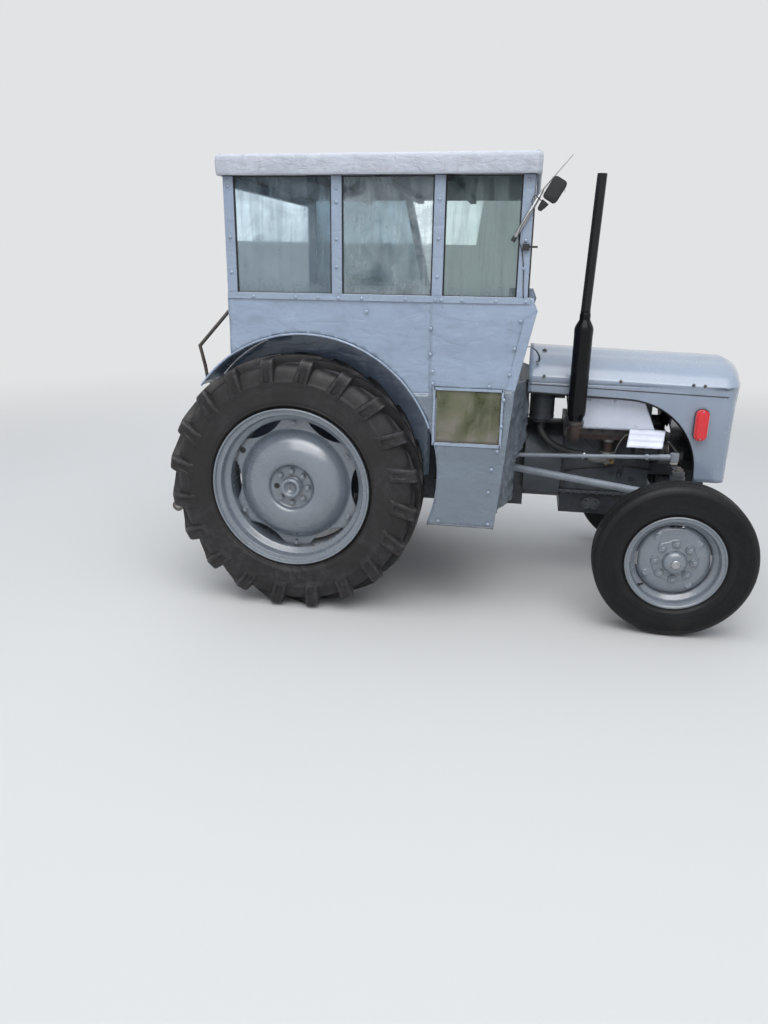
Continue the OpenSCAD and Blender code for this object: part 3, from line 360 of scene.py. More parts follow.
def make_group(name: str, wants: dict[str, object], gives: Sequence[str],
               fill: Callable[[Wiring, dict], dict]) -> bpy.types.NodeTree:
    """Makes a shader node group once.

    Args:
        name: The group's name.
        wants: The inputs' values by name: a number, or a colour.
        gives: The outputs' names, where Color is a colour and any other a number.
        fill: Adds the nodes, from the input sockets by name, and returns the output sockets by name.

    Returns:
        The group.
    """
    known = bpy.data.node_groups.get(name)
    if known:
        return known
    group = bpy.data.node_groups.new(name, "ShaderNodeTree")
    for label, value in wants.items():
        kind = "NodeSocketFloat" if isinstance(value, float) else "NodeSocketColor"
        group.interface.new_socket(label, in_out="INPUT", socket_type=kind).default_value = value
    for label in gives:
        kind = "NodeSocketColor" if label == "Color" else "NodeSocketFloat"
        group.interface.new_socket(label, in_out="OUTPUT", socket_type=kind)
    source = group.nodes.new("NodeGroupInput")
    sink = group.nodes.new("NodeGroupOutput")
    made = fill(Wiring(group), {s.name: s for s in source.outputs if s.name})
    for label, socket in made.items():
        group.links.new(socket, sink.inputs[label])
    return group


def blank(made: bpy.types.Material | bpy.types.World) -> Wiring:
    """Empties a new material or world and returns the wiring of its nodes."""
    made.use_nodes = True
    made.node_tree.nodes.clear()
    return Wiring(made.node_tree)


def weather_group() -> bpy.types.NodeTree:
    """Makes the effect of uneven colour, ground dirt and run-down streaks.

    Returns:
        The group, with a colour and a dirt mask.
    """
    def fill(w: Wiring, given: dict) -> dict:
        """Adds the nodes."""
        where = w.node("TexCoord").outputs["Object"]
        height = w.node("SeparateXYZ", {0: where}).outputs["Z"]
        patches = w.grain(where, given["Patch Scale"], 5.0, 0.6, 0.4)
        share = w.times(w.spread(patches, 0.35, 0.68), given["Patch Amount"], True)
        base = w.blend(share, given["Base"], given["Second"])
        tall = w.node("Mapping", {"Vector": where, "Scale": (26.0, 26.0, 1.6)}).outputs[0]
        runs = w.times(w.spread(w.grain(tall, 1.0, 4.0, 0.65), 0.54, 0.72), given["Streaks"], True)
        low = w.spread(height, 0.05, 0.0)
        rise = w.node("MapRange", {"Value": height, "From Min": given["Dirt Top"], "From Max": 0.1,
                                   "To Min": 0.0, "To Max": 1.0}).outputs[0]
        speckle = w.spread(w.grain(where, 34.0, 6.0, 0.7), 0.40, 0.62)
        cloud = w.spread(w.grain(where, 5.0, 4.0, 0.6), 0.36, 0.66)
        splash = w.times(w.times(speckle, cloud), w.larger(rise, low))
        dirt = w.times(w.larger(splash, w.times(w.times(speckle, cloud), 0.22)), given["Dirt Amount"], True)
        both = w.larger(dirt, runs)
        return {"Color": w.blend(both, base, given["Dirt"]), "Mask": both}

    return make_group("weather", {"Base": (0.5, 0.5, 0.5, 1), "Second": (0.4, 0.4, 0.4, 1),
                                  "Dirt": (0.1, 0.08, 0.06, 1), "Patch Scale": 4.0, "Patch Amount": 0.5,
                                  "Streaks": 0.0, "Dirt Amount": 0.5, "Dirt Top": 0.9}, ["Color", "Mask"],
                      fill)


def specks_group() -> bpy.types.NodeTree:
    """Makes the mask of small chips, rust spots or bright wear.

    Returns:
        The group, with a mask.
    """
    def fill(w: Wiring, given: dict) -> dict:
        """Adds the nodes."""
        where = w.node("TexCoord").outputs["Object"]
        fine = w.grain(where, given["Scale"], 7.0, 0.72, 0.6)
        wide = w.grain(where, w.times(given["Scale"], 0.17), 3.0)
        level = w.plus(w.times(fine, 0.7), w.times(wide, 0.42))
        edge = w.calc("SUBTRACT", 0.86, w.times(given["Amount"], 0.38))
        mask = w.node("MapRange", {"Value": level, "From Min": edge, "From Max": w.plus(edge, 0.035)})
        return {"Mask": mask.outputs[0]}

    return make_group("specks", {"Scale": 60.0, "Amount": 0.3}, ["Mask"], fill)


def hollow_group() -> bpy.types.NodeTree:
    """Makes the masks of rubbed edges, which on the rear tyre stand for a painted sheen, and of dirt with
    painted shade in corners, found by ambient occlusion.

    Returns:
        The group, with an edge mask and a mask of corner dirt and painted shade.
    """
    def fill(w: Wiring, given: dict) -> dict:
        """Adds the nodes."""
        bend = w.node("NewGeometry").outputs["Pointiness"]
        where = w.node("TexCoord").outputs["Object"]
        broken = w.times(w.calc("SUBTRACT", w.grain(where, 45.0, 4.0, 0.6), 0.5), 0.09)
        edge = w.spread(w.plus(bend, broken), 0.53, 0.60)
        # Ambient occlusion: corners and recesses get the corner colour, painted shade mixed with dirt.
        shade = w.node("AmbientOcclusion", {"Distance": given["Reach"]}, samples=6).outputs["AO"]
        loose = w.plus(shade, w.times(w.calc("SUBTRACT", w.grain(where, 22.0, 4.0, 0.6), 0.5), 0.5))
        return {"Edge": w.times(edge, given["Wear"], True),
                "Corner": w.times(w.spread(loose, 0.82, 0.30), given["Grime"], True)}

    return make_group("hollows", {"Reach": 0.04, "Wear": 0.3, "Grime": 0.5}, ["Edge", "Corner"], fill)


def relief_group() -> bpy.types.NodeTree:
    """Makes the height of shallow dents with a fine grain on them.

    Returns:
        The group, with a height for dents and one for grain.
    """
    def fill(w: Wiring, given: dict) -> dict:
        """Adds the nodes."""
        where = w.node("TexCoord").outputs["Object"]
        broad = w.grain(where, given["Dent Scale"], 2.0, 0.5, 0.9)
        fold = w.node("Mapping",
                      {"Vector": where, "Rotation": (0.3, 0.7, 0.2), "Scale": (1.0, 1.0, 2.6)}).outputs[0]
        creases = w.calc("ABSOLUTE",
                         w.calc("SUBTRACT", w.grain(fold, given["Dent Scale"], 2.0, 0.5, 0.5), 0.5), 0.0)
        dents = w.plus(broad, w.times(w.spread(creases, 0.0, 0.12), 0.10))
        return {"Dents": dents, "Grain": w.grain(where, given["Grain Scale"], 4.0, 0.6)}

    return make_group("relief", {"Dent Scale": 6.0, "Grain Scale": 300.0}, ["Dents", "Grain"], fill)


@dataclass(frozen=True)
class Look:
    """What every finish has: a name and a material that is made once."""

    name: str

    def material(self) -> bpy.types.Material:
        """Makes the material once.

        Returns:
            The material.
        """
        known = bpy.data.materials.get("look_" + self.name)
        if known:
            return known
        made = bpy.data.materials.new("look_" + self.name)
        self.fill(blank(made))
        return made

    def fill(self, w: Wiring) -> None:
        """Adds the nodes of the material. Each kind of finish has its own."""
        raise NotImplementedError


@dataclass(frozen=True)
class Finish(Look):
    """An opaque finish: colours, dirt, rubbed edges, gloss and relief, with painted shade in corners and, on
    the rear tyre, a painted sheen on the edges.
    """

    base: Colour
    second: Colour
    dirt: Colour = tint(92, 82, 70)
    patch_scale: float = 5.0
    patch_amount: float = 0.5
    streaks: float = 0.0
    dirt_amount: float = 0.3
    dirt_top: float = 0.75
    speck: Colour = tint(86, 52, 36)
    speck_scale: float = 70.0
    speck_amount: float = 0.12
    # Colour and share of the pale edges: rubbed paint, and on the rear tyre a painted sheen.
    wear: Colour = tint(160, 160, 160)
    wear_amount: float = 0.2
    # Colour, share and reach of the corner mask: painted shade where the colour is darker than the base, dirt
    # where it is paler.
    grime: Colour = tint(40, 36, 33)
    grime_amount: float = 0.35
    grime_reach: float = 0.03
    gloss: float = 0.35
    dull: float = 0.6
    metal: float = 0.0
    coat: float = 0.0
    shine: float = 0.5
    dent_scale: float = 6.0
    dent_depth: float = 0.0
    grain_scale: float = 320.0
    grain_depth: float = 0.0004

    def fill(self, w: Wiring) -> None:
        """Adds the nodes of the material."""
        weather = w.node("Group", {"Base": self.base, "Second": self.second, "Dirt": self.dirt,
                                   "Patch Scale": self.patch_scale, "Patch Amount": self.patch_amount,
                                   "Streaks": self.streaks, "Dirt Amount": self.dirt_amount,
                                   "Dirt Top": self.dirt_top}, node_tree=weather_group())
        specks = w.node("Group", {"Scale": self.speck_scale, "Amount": self.speck_amount},
                        node_tree=specks_group())
        hollows = w.node("Group",
                         {"Reach": self.grime_reach, "Wear": self.wear_amount, "Grime": self.grime_amount},
                         node_tree=hollow_group())
        relief = w.node("Group", {"Dent Scale": self.dent_scale, "Grain Scale": self.grain_scale},
                        node_tree=relief_group())
        # Pale edges: rubbed paint, and on the rear tyre a painted sheen.
        colour = w.blend(hollows.outputs["Edge"], weather.outputs["Color"], self.wear)
        colour = w.blend(specks.outputs["Mask"], colour, self.speck)
        # Corners found by ambient occlusion take the corner colour: painted shade where it is darker than the
        # base, dirt where it is paler.
        colour = w.blend(hollows.outputs["Corner"], colour, self.grime)
        rough = w.spread(relief.outputs["Dents"], 0.3, 0.8, self.gloss, mix(self.gloss, self.dull, 0.35))
        dirt_specks_and_shade = w.larger(w.larger(weather.outputs["Mask"], specks.outputs["Mask"]), hollows.outputs["Corner"])
        rough = w.plus(rough, w.times(dirt_specks_and_shade, self.dull - self.gloss), True)
        normal = w.node("Bump",
                        {"Height": relief.outputs["Grain"], "Strength": 1.0, "Distance": self.grain_depth})
        if self.dent_depth > 0:
            normal = w.node("Bump", {"Height": relief.outputs["Dents"], "Strength": 1.0,
                                     "Distance": self.dent_depth, "Normal": normal.outputs[0]})
        shader = w.node("BsdfPrincipled", {"Base Color": colour, "Roughness": rough, "Metallic": self.metal,
                                           "Normal": normal.outputs[0], "Coat Weight": self.coat,
                                           "Coat Roughness": 0.18, "Specular IOR Level": self.shine})
        w.node("OutputMaterial", {"Surface": shader.outputs[0]})


@dataclass(frozen=True)
class GlassFinish(Look):
    """A pane with haze, smears and dirt along its lower edge."""

    clear: Colour
    haze_colour: Colour
    haze: float = 0.3
    smears: float = 0.3
    rough: float = 0.12
    low: float = 1.5
    rim: float = 0.08
    coat: float = 0.0

    def fill(self, w: Wiring) -> None:
        """Adds the nodes of the material."""
        where = w.node("TexCoord").outputs["Object"]
        height = w.node("SeparateXYZ", {0: where}).outputs["Z"]
        cloud = w.spread(w.grain(where, 4.5, 5.0, 0.65, 0.8), 0.30, 0.72)
        tall = w.node("Mapping", {"Vector": where, "Scale": (30.0, 30.0, 2.2)}).outputs[0]
        runs = w.spread(w.grain(tall, 1.0, 4.0, 0.6, 0.6), 0.42, 0.70)
        dust = w.spread(height, self.low + self.rim, self.low)
        film = w.plus(w.times(cloud, self.haze), w.times(runs, self.smears))
        film = w.plus(w.plus(film, self.coat), w.times(dust, 0.30), True)
        colour = w.blend(film, self.clear, self.haze_colour)
        rough = w.spread(film, 0.0, 1.0, self.rough * 0.5, self.rough * 2.4)
        glass = w.node("BsdfPrincipled",
                       {"Base Color": colour, "Roughness": rough, "Transmission Weight": 1.0, "IOR": 1.16})
        solid = w.times(film, 0.80, True)
        dirty = w.node("BsdfPrincipled", {"Base Color": colour, "Roughness": 0.5})
        both = w.node("MixShader", {0: solid, 1: glass.outputs[0], 2: dirty.outputs[0]})
        w.node("OutputMaterial", {"Surface": both.outputs[0]})


class Forge:
    """Gathers the faces of one piece, in millimetres from the rear axle's station, and makes the object."""

    def __init__(self, place: Matrix | None = None) -> None:
        """Starts an empty piece.

        Args:
            place: Where what is added next goes.
        """
        self.place = place or Matrix.Identity(4)
        self.spots: list[Vector] = []
        self.faces: list[tuple[int, ...]] = []
        self.marks: list[int] = []
        self.mark = 0

    def spot(self, where: Sequence[float]) -> int:
        """Adds a point and returns its number."""
        self.spots.append(self.place @ Vector(where))
        return len(self.spots) - 1

    def face(self, corners: Sequence[int]) -> None:
        """Adds a face with the present finish's number."""
        self.faces.append(tuple(corners) if self.place.determinant() > 0 else tuple(reversed(corners)))
        self.marks.append(self.mark)

    @contextmanager
    def placed(self, place: Matrix) -> Iterator[None]:
        """Puts what is added within it at a place within the present one."""
        before = self.place
        self.place = before @ place
        yield
        self.place = before

    def face_towards(self, way: Sequence[float]) -> None:
        """Turns all faces over where they look away from the given direction on the whole."""
        spots = self.spots
        facing = sum(((spots[b] - spots[a]).cross(spots[c] - spots[a]) for a, b, c, *_ in self.faces),
                     Vector())
        if facing.dot(Vector(way)) < 0:
            self.faces = [tuple(reversed(f)) for f in self.faces]

    def rows(self, grid: Sequence[Sequence[Sequence[float]]], round_rows: bool = False,
             round_ends: bool = False, caps: bool = False,
             keep: Callable[[int, int], bool] | None = None) -> None:
        """Adds a surface through rows of points.

        Args:
            grid: Rows of the same number of points.
            round_rows: Whether each row is closed.
            round_ends: Whether the last row joins the first.
            caps: Whether the first and last rows are filled.
            keep: Says which cells, by row and column, get a face.
        """
        ids = [[self.spot(p) for p in row] for row in grid]
        count, width = len(ids), len(ids[0])
        for r in range(count if round_ends else count - 1):
            for c in range(width if round_rows else width - 1):
                if keep and not keep(r, c):
                    continue
                s, d = (r + 1) % count, (c + 1) % width
                self.face((ids[r][c], ids[r][d], ids[s][d], ids[s][c]))
        if caps:
            self.face(tuple(reversed(ids[0])))
            self.face(tuple(ids[-1]))

    def lathe(self, profile: Sequence[tuple[float, float]], steps: int = 64, closed: bool = False,
              wobble: Callable[[float, float, float], float] | None = None) -> None:
        """Turns a profile about the place's Z axis.

        Args:
            profile: Radius and height of each point. A radius of 0 closes that end.
            steps: Steps round the axis.
            closed: Whether the last point joins the first.
            wobble: Change of radius from angle, radius and height.
        """
        grid = []
        for radius, height in profile:
            row = []
            for step in range(steps):
                turn = 2 * math.pi * step / steps
                r = radius + (wobble(turn, radius, height) if wobble and radius else 0)
                row.append((max(r, 0.01) * math.cos(turn), max(r, 0.01) * math.sin(turn), height))
            grid.append(row)
        self.rows(grid, round_rows=True, round_ends=closed, caps=not closed)

    def tube(self, points: Sequence[Sequence[float]], radius: float | Sequence[float], sides: int = 12,
             flat: float = 1.0, closed: bool = False) -> None:
        """Adds a round or oval bar along points.

        Args:
            points: The points of its middle.
            radius: Its radius, or one for each point.
            sides: Sides round it.
            flat: Height of its section as a share of its width.
            closed: Whether it joins up with itself.
        """
        path = [Vector(p) for p in points]
        count = len(path)
        grid = []
        side = None
        for i, p in enumerate(path):
            before = path[i - 1] if i or closed else p
            after = path[(i + 1) % count] if i < count - 1 or closed else p
            ahead = (after - before).normalized()
            if side is None:
                other = Vector((0, 0, 1)) if abs(ahead.z) < 0.9 else Vector((0, 1, 0))
                side = ahead.cross(other).normalized()
            side = (side - ahead * side.dot(ahead)).normalized()
            up = ahead.cross(side)
            r = radius if isinstance(radius, (int, float)) else radius[i]
            grid.append([p + side * math.cos(2 * math.pi * k / sides) * r
                         + up * math.sin(2 * math.pi * k / sides) * r * flat for k in range(sides)])
        self.rows(grid, round_rows=True, round_ends=closed, caps=not closed)

    def prism(self, outline: Outline, low: float, high: float, plane: str = "xz") -> None:
        """Extrudes an outline between two levels.

        Args:
            outline: Points in the plane.
            low: Lower level on the third axis.
            high: Upper level on the third axis.
            plane: xz, xy or yz.
        """
        def lift(u: float, v: float, level: float) -> Spot:
            """Puts an outline point at a level."""
            return {"xz": (u, level, v), "xy": (u, v, level), "yz": (level, u, v)}[plane]

        ids = [[self.spot(lift(u, v, level)) for u, v in outline] for level in (low, high)]
        count = len(outline)
        for i in range(count):
            j = (i + 1) % count
            self.face((ids[0][i], ids[0][j], ids[1][j], ids[1][i]))
        self.face(tuple(reversed(ids[0])))
        self.face(tuple(ids[1]))

    def block(self, low: Sequence[float], high: Sequence[float]) -> None:
        """Adds a block from its lowest corner to its highest."""
        self.prism([(low[0], low[1]), (high[0], low[1]), (high[0], high[1]), (low[0], high[1])], low[2],
                   high[2], "xy")

    def ball(self, where: Sequence[float], radius: float, steps: int = 20) -> None:
        """Adds a ball."""
        rings = steps // 2
        with self.placed(Matrix.Translation(Vector(where))):
            self.lathe([(radius * math.sin(math.pi * i / rings), -radius * math.cos(math.pi * i / rings))
                        for i in range(rings + 1)], steps)

    def along(self, start: Sequence[float], to: Sequence[float]) -> Matrix:
        """Returns the place whose Z axis runs from one point towards another."""
        a, b = Vector(start), Vector(to)
        turn = Vector((0, 0, 1)).rotation_difference((b - a).normalized()).to_matrix().to_4x4()
        return Matrix.Translation(a) @ turn

    def turned_bar(self, start: Sequence[float], to: Sequence[float], profile: Sequence[tuple[float, float]],
                   steps: int = 24) -> None:
        """Turns a profile about the line from one point towards another, heights measured from the first."""
        with self.placed(self.along(start, to)):
            self.lathe(profile, steps)

    def bolt(self, where: Sequence[float], out: Sequence[float], size: float, height: float,
             washer: float = 0.0, tip: float = 0.0) -> None:
        """Adds a hexagon head, with a washer under it and a thread tip over it where asked for.

        Args:
            where: The middle of its seat.
            out: The way it points.
            size: Radius over its corners.
            height: Height of the head.
            washer: Radius of the washer, or 0.
            tip: Height of the thread's end above the head, or 0.
        """
        start = Vector(where)
        lift = height * 0.18 if washer else 0.0
        top = lift + height
        with self.placed(self.along(start, start + Vector(out))):
            if washer:
                self.lathe([(0, -1), (washer, -1), (washer, lift * 0.7), (washer * 0.94, lift), (0, lift)],
                           20)
            self.lathe([(0, -1), (size, -1), (size, top - height * 0.12), (size * 0.86, top), (0, top)], 6)
            if tip:
                self.lathe([(0, top - 1), (size * 0.52, top - 1), (size * 0.52, top + tip * 0.8),
                            (size * 0.42, top + tip), (0, top + tip)], 12)

    def screw(self, where: Sequence[float], out: Sequence[float], radius: float) -> None:
        """Adds a low domed screw head."""
        start = Vector(where)
        with self.placed(self.along(start, start + Vector(out))):
            self.lathe([(0, -1), (radius, -1), (radius, radius * 0.2), (radius * 0.8, radius * 0.5),
                        (radius * 0.4, radius * 0.68), (0, radius * 0.72)], 12)

    def drape(self, outlines: Sequence[Outline], spacing: float,
              lift: Callable[[float, float], Sequence[float]]) -> None:
        """Adds a sheet with an even net of points inside outlines.

        Args:
            outlines: The edge, then the edges of any holes.
            spacing: Distance between points.
            lift: Gives the place of a point of the flat sheet.
        """
        points: list[Vector] = []
        edges = []
        for outline in outlines:
            first = len(points)
            ring = [Vector(p) for p in stepped(outline, spacing)]
            points += ring
            edges += [(first + i, first + (i + 1) % len(ring)) for i in range(len(ring))]
        rim = len(points)
        us = [p.x for p in points]
        vs = [p.y for p in points]
        rise = spacing * 0.87
        for r in range(1, int((max(vs) - min(vs)) / rise) + 1):
            for c in range(int((max(us) - min(us)) / spacing) + 1):
                p = Vector((min(us) + (c + 0.5 * (r % 2) + 0.25) * spacing, min(vs) + r * rise))
                if not inside(p, outlines[0]) or any(inside(p, o) for o in outlines[1:]):
                    continue
                if min((p - q).length_squared for q in points[:rim]) > (spacing * 0.55) ** 2:
                    points.append(p)
        flat, _, faces, *_ = delaunay_2d_cdt(points, edges, [], 1, 1e-4)
        ids = [self.spot(lift(p.x, p.y)) for p in flat]
        for corners in faces:
            middle = sum((flat[i] for i in corners), Vector((0.0, 0.0))) / len(corners)
            if inside(middle, outlines[0]) and not any(inside(middle, o) for o in outlines[1:]):
                self.face(tuple(ids[i] for i in corners))

    def make(self, name: str, body: str, slot: str, *finishes: Look, replaces: Sequence[str] = (),
             bevel: float = 0.0, skin: float = 0.0, crease: float = 34.0, skin_side: float = -1.0,
             weld: bool = False) -> bpy.types.Object:
        """Makes the object, dresses it and rides it on its body.

        Args:
            name: The piece's name.
            body: The body that it moves with.
            slot: The record's material slot; not used.
            finishes: The finishes, in the order of their numbers.
            replaces: The CAD nodes that it stands for.
            bevel: Width of the rounding on sharp edges, in millimetres.
            skin: Thickness added to an open surface, in millimetres.
            crease: Angle in degrees from which an edge stays sharp.
            skin_side: -1 for thickness inwards, 1 for outwards, 0 for both.
            weld: Whether points at the same place are joined.

        Returns:
            The object.
        """
        mesh = bpy.data.meshes.new(name)
        mesh.from_pydata([at(*p) for p in self.spots], [], self.faces)
        for polygon, mark in zip(mesh.polygons, self.marks):
            polygon.material_index = mark
        for finish in finishes:
            mesh.materials.append(finish.material())
        mesh.validate()
        mesh.shade_smooth()
        mesh.set_sharp_from_angle(angle=math.radians(crease))
        made = bpy.data.objects.new(name, mesh)
        bpy.context.scene.collection.objects.link(made)
        if weld:
            made.modifiers.new("joined", "WELD").merge_threshold = WELD_DISTANCE
        if skin:
            thick = made.modifiers.new("skin", "SOLIDIFY")
            thick.thickness = skin / 1000
            thick.offset = skin_side
            thick.use_even_offset = False
        round_edges(made, bevel, True)
        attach(made, body)
        if replaces:
            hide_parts(*replaces)
        LOG.info("%s: %d faces on %s", name, len(self.faces), body)
        return made


PAINT = Finish("cab_paint", tint(146, 162, 184), tint(133, 148, 169), dirt=tint(98, 94, 86), patch_scale=3.2,
               dirt_amount=0.35, dirt_top=0.55, streaks=0.10, speck_amount=0.06, speck_scale=55.0,
               wear=tint(150, 162, 176), wear_amount=0.35, grime_amount=0.30, gloss=0.23, dull=0.5, coat=0.45,
               shine=0.8, dent_scale=5.5, dent_depth=0.0085, grain_scale=420.0, grain_depth=0.0003)
TIN = Finish("tin_paint", tint(140, 154, 173), tint(129, 142, 160), dirt=tint(92, 88, 82), patch_scale=4.0,
             dirt_amount=0.30, dirt_top=0.45, speck_amount=0.05, speck_scale=60.0, wear=tint(156, 168, 182),
             wear_amount=0.4, grime_amount=0.35, shine=0.9, gloss=0.20, dull=0.45, coat=0.8, dent_scale=3.0,
             dent_depth=0.0010, grain_scale=500.0, grain_depth=0.0003)
WHEEL_PAINT = Finish("wheel_paint", tint(112, 121, 131), tint(99, 107, 116), dirt=tint(84, 77, 68),
                     patch_scale=8.0, dirt_amount=0.35, dirt_top=0.7, speck_amount=0.05, speck_scale=80.0,
                     wear=tint(150, 160, 170), wear_amount=0.4, grime_amount=0.55, grime_reach=0.03,
                     shine=1.0, gloss=0.20, dull=0.45, coat=1.0, dent_scale=7.0, dent_depth=0.0006,
                     grain_scale=500.0, grain_depth=0.0003)
CASTING = Finish("engine_casting", tint(56, 60, 66), tint(41, 44, 48), dirt=tint(62, 52, 43), patch_scale=9.0,
                 patch_amount=0.8, dirt_amount=0.85, dirt_top=1.1, speck=tint(98, 62, 44), speck_scale=40.0,
                 speck_amount=0.22, shine=0.4, wear=tint(120, 126, 133), wear_amount=0.3,
                 grime=tint(30, 27, 25), grime_amount=0.85, grime_reach=0.05, gloss=0.38, dull=0.75,
                 grain_scale=240.0, grain_depth=0.0008)
RUSTY = Finish("rusty_iron", tint(66, 53, 47), tint(46, 40, 38), dirt=tint(82, 64, 54), patch_scale=22.0,
               patch_amount=0.9, dirt_amount=0.6, dirt_top=1.4, speck=tint(98, 68, 50), speck_amount=0.3,
               grime_amount=0.7, gloss=0.6, dull=0.9, grain_scale=260.0, grain_depth=0.0009)
SILVER = Finish("silver_sheet", tint(222, 228, 243), tint(203, 209, 223), dirt=tint(120, 112, 102),
                patch_scale=7.0, dirt_amount=0.25, dirt_top=1.2, speck=tint(122, 92, 70), speck_amount=0.10,
                wear=tint(210, 212, 216), grime_amount=0.45, gloss=0.42, dull=0.6, metal=0.15, dent_scale=9.0,
                dent_depth=0.0018, grain_depth=0.0004)
DIRTY_STEEL = Finish("dirty_steel", tint(96, 90, 84), tint(66, 60, 56), dirt=tint(84, 66, 50),
                     patch_scale=20.0, patch_amount=0.8, dirt_amount=0.6, dirt_top=1.3,
                     speck=tint(108, 72, 48), speck_amount=0.3, grime_amount=0.7, gloss=0.4, dull=0.75,
                     metal=0.35, grain_scale=280.0, grain_depth=0.001)
BRIGHT_STEEL = Finish("bright_steel", tint(176, 178, 180), tint(148, 149, 150), patch_scale=18.0,
                      dirt_amount=0.3, speck_amount=0.15, grime_amount=0.4, gloss=0.28, dull=0.55, metal=0.85,
                      grain_depth=0.0003)
BLACK_PAINT = Finish("black_paint", tint(10, 11, 14), tint(17, 18, 20), dirt=tint(74, 68, 62),
                     patch_scale=10.0, dirt_amount=0.25, dirt_top=1.0, speck_amount=0.06,
                     wear=tint(62, 62, 64), wear_amount=0.3, gloss=0.18, dull=0.45, shine=0.22,
                     dent_scale=16.0, dent_depth=0.0003, grain_depth=0.0001)
BLACK_PLASTIC = Finish("black_plastic", tint(26, 27, 30), tint(38, 39, 42), dirt=tint(90, 88, 84),
                       patch_scale=14.0, dirt_amount=0.3, dirt_top=2.0, speck_amount=0.0,
                       wear=tint(70, 70, 72), gloss=0.38, dull=0.6, grain_depth=0.0006)
HOSE = Finish("black_hose", tint(31, 32, 35), tint(46, 46, 48), dirt=tint(84, 80, 74), patch_scale=18.0,
              dirt_amount=0.5, dirt_top=1.2, speck_amount=0.0, wear=tint(66, 66, 68), gloss=0.5, dull=0.75,
              grain_depth=0.0008)
# Painted light on the rear tyre: the pale edge colour is a painted sheen on the bars with some rubbing, and
# the darker corner colour is painted shade between them.
REAR_RUBBER = Finish("rear_rubber", tint(27, 25, 26), tint(34, 31, 31), dirt=tint(76, 74, 79),
                     patch_scale=9.0, patch_amount=0.8, dirt_amount=0.5, dirt_top=1.5, shine=0.45,
                     speck=tint(66, 61, 57), speck_scale=90.0, speck_amount=0.10, wear=tint(92, 90, 95),
                     wear_amount=0.7, grime=tint(22, 20, 19), grime_amount=0.5, grime_reach=0.04, gloss=0.42,
                     dull=0.85, dent_scale=12.0, dent_depth=0.0010, grain_scale=380.0, grain_depth=0.0003)
FRONT_RUBBER = Finish("front_rubber", tint(15, 17, 20), tint(21, 23, 26), dirt=tint(64, 59, 53),
                      patch_scale=10.0, patch_amount=0.6, dirt_amount=0.18, dirt_top=0.4, shine=0.3,
                      speck_amount=0.02, wear=tint(58, 60, 64), wear_amount=0.4, grime=tint(62, 56, 50),
                      grime_amount=0.4, gloss=0.42, dull=0.8, grain_scale=420.0, grain_depth=0.0002)
ROOF_SKIN = Finish("white_roof", tint(186, 191, 201), tint(172, 178, 189), dirt=tint(132, 128, 118),
                   patch_scale=3.0, dirt_amount=0.5, dirt_top=3.0, streaks=0.3, speck=tint(126, 118, 104),
                   speck_scale=90.0, speck_amount=0.12, wear=tint(206, 209, 214), grime_amount=0.3, gloss=0.6,
                   dull=0.75, shine=0.3, dent_scale=13.0, dent_depth=0.0075, grain_scale=300.0,
                   grain_depth=0.0008)
ROOF_BOARD = Finish("roof_board", tint(150, 150, 152), tint(136, 134, 132), dirt=tint(104, 96, 84),
                    patch_scale=4.0, dirt_amount=0.4, dirt_top=3.0, gloss=0.6, dull=0.8, grain_scale=150.0,
                    grain_depth=0.001)
LOOSE_SHEET = Finish("loose_sheet", tint(116, 124, 134), tint(88, 95, 103), dirt=tint(66, 58, 50),
                     patch_scale=7.0, patch_amount=0.8, dirt_amount=0.7, dirt_top=1.1, speck_amount=0.12,
                     wear=tint(140, 148, 156), wear_amount=0.6, grime=tint(28, 28, 29), grime_amount=0.6,
                     gloss=0.34, dull=0.7, dent_scale=10.0, dent_depth=0.0050, grain_scale=300.0,
                     grain_depth=0.0008)
FLOOR_PLATE = Finish("floor_plate", tint(84, 88, 93), tint(66, 68, 71), dirt=tint(92, 82, 68),
                     patch_scale=8.0, patch_amount=0.8, dirt_amount=0.9, dirt_top=0.9, speck_amount=0.3,
                     gloss=0.45, dull=0.8, metal=0.2, grain_scale=200.0, grain_depth=0.001)
BRASS = Finish("brass_fitting", tint(158, 128, 78), tint(116, 92, 58), patch_scale=40.0, dirt_amount=0.4,
               grime_amount=0.6, gloss=0.3, dull=0.6, metal=0.8, grain_depth=0.0003)
RED_LENS = Finish("red_lens", tint(226, 34, 46), tint(204, 22, 34), dirt=tint(150, 120, 110),
                  patch_scale=20.0, patch_amount=0.5, dirt_amount=0.12, speck_amount=0.0,
                  wear=tint(226, 90, 92), wear_amount=0.3, grime_amount=0.1, gloss=0.14, dull=0.4, coat=0.6,
                  grain_scale=160.0, grain_depth=0.0006)
CLEAR_LENS = Finish("clear_lens", tint(214, 216, 218), tint(196, 198, 200), patch_scale=20.0, dirt_amount=0.3,
                    speck_amount=0.0, gloss=0.14, dull=0.4, coat=0.6, grain_scale=160.0, grain_depth=0.0006)
DIAL_FACE = Finish("dial_face", tint(206, 204, 194), tint(190, 187, 174), patch_scale=30.0, dirt_amount=0.3,
                   speck_amount=0.0, gloss=0.3, dull=0.5)
MIDDLE_PANE = GlassFinish("middle_pane", tint(196, 208, 211), tint(160, 173, 179), haze=0.50, smears=0.20,
                          rough=0.10)
HAZY_PANE = GlassFinish("hazy_pane", tint(158, 174, 183), tint(128, 142, 152), haze=0.36, smears=0.20,
                        rough=0.10)
FRONT_PANE = GlassFinish("front_pane", tint(150, 166, 166), tint(130, 143, 146), haze=0.14, smears=0.30,
                         rough=0.05)
SCREEN_PANE = GlassFinish("screen_pane", tint(170, 182, 188), tint(132, 144, 152), haze=0.26, smears=0.22,
                          rough=0.07, low=1.366)
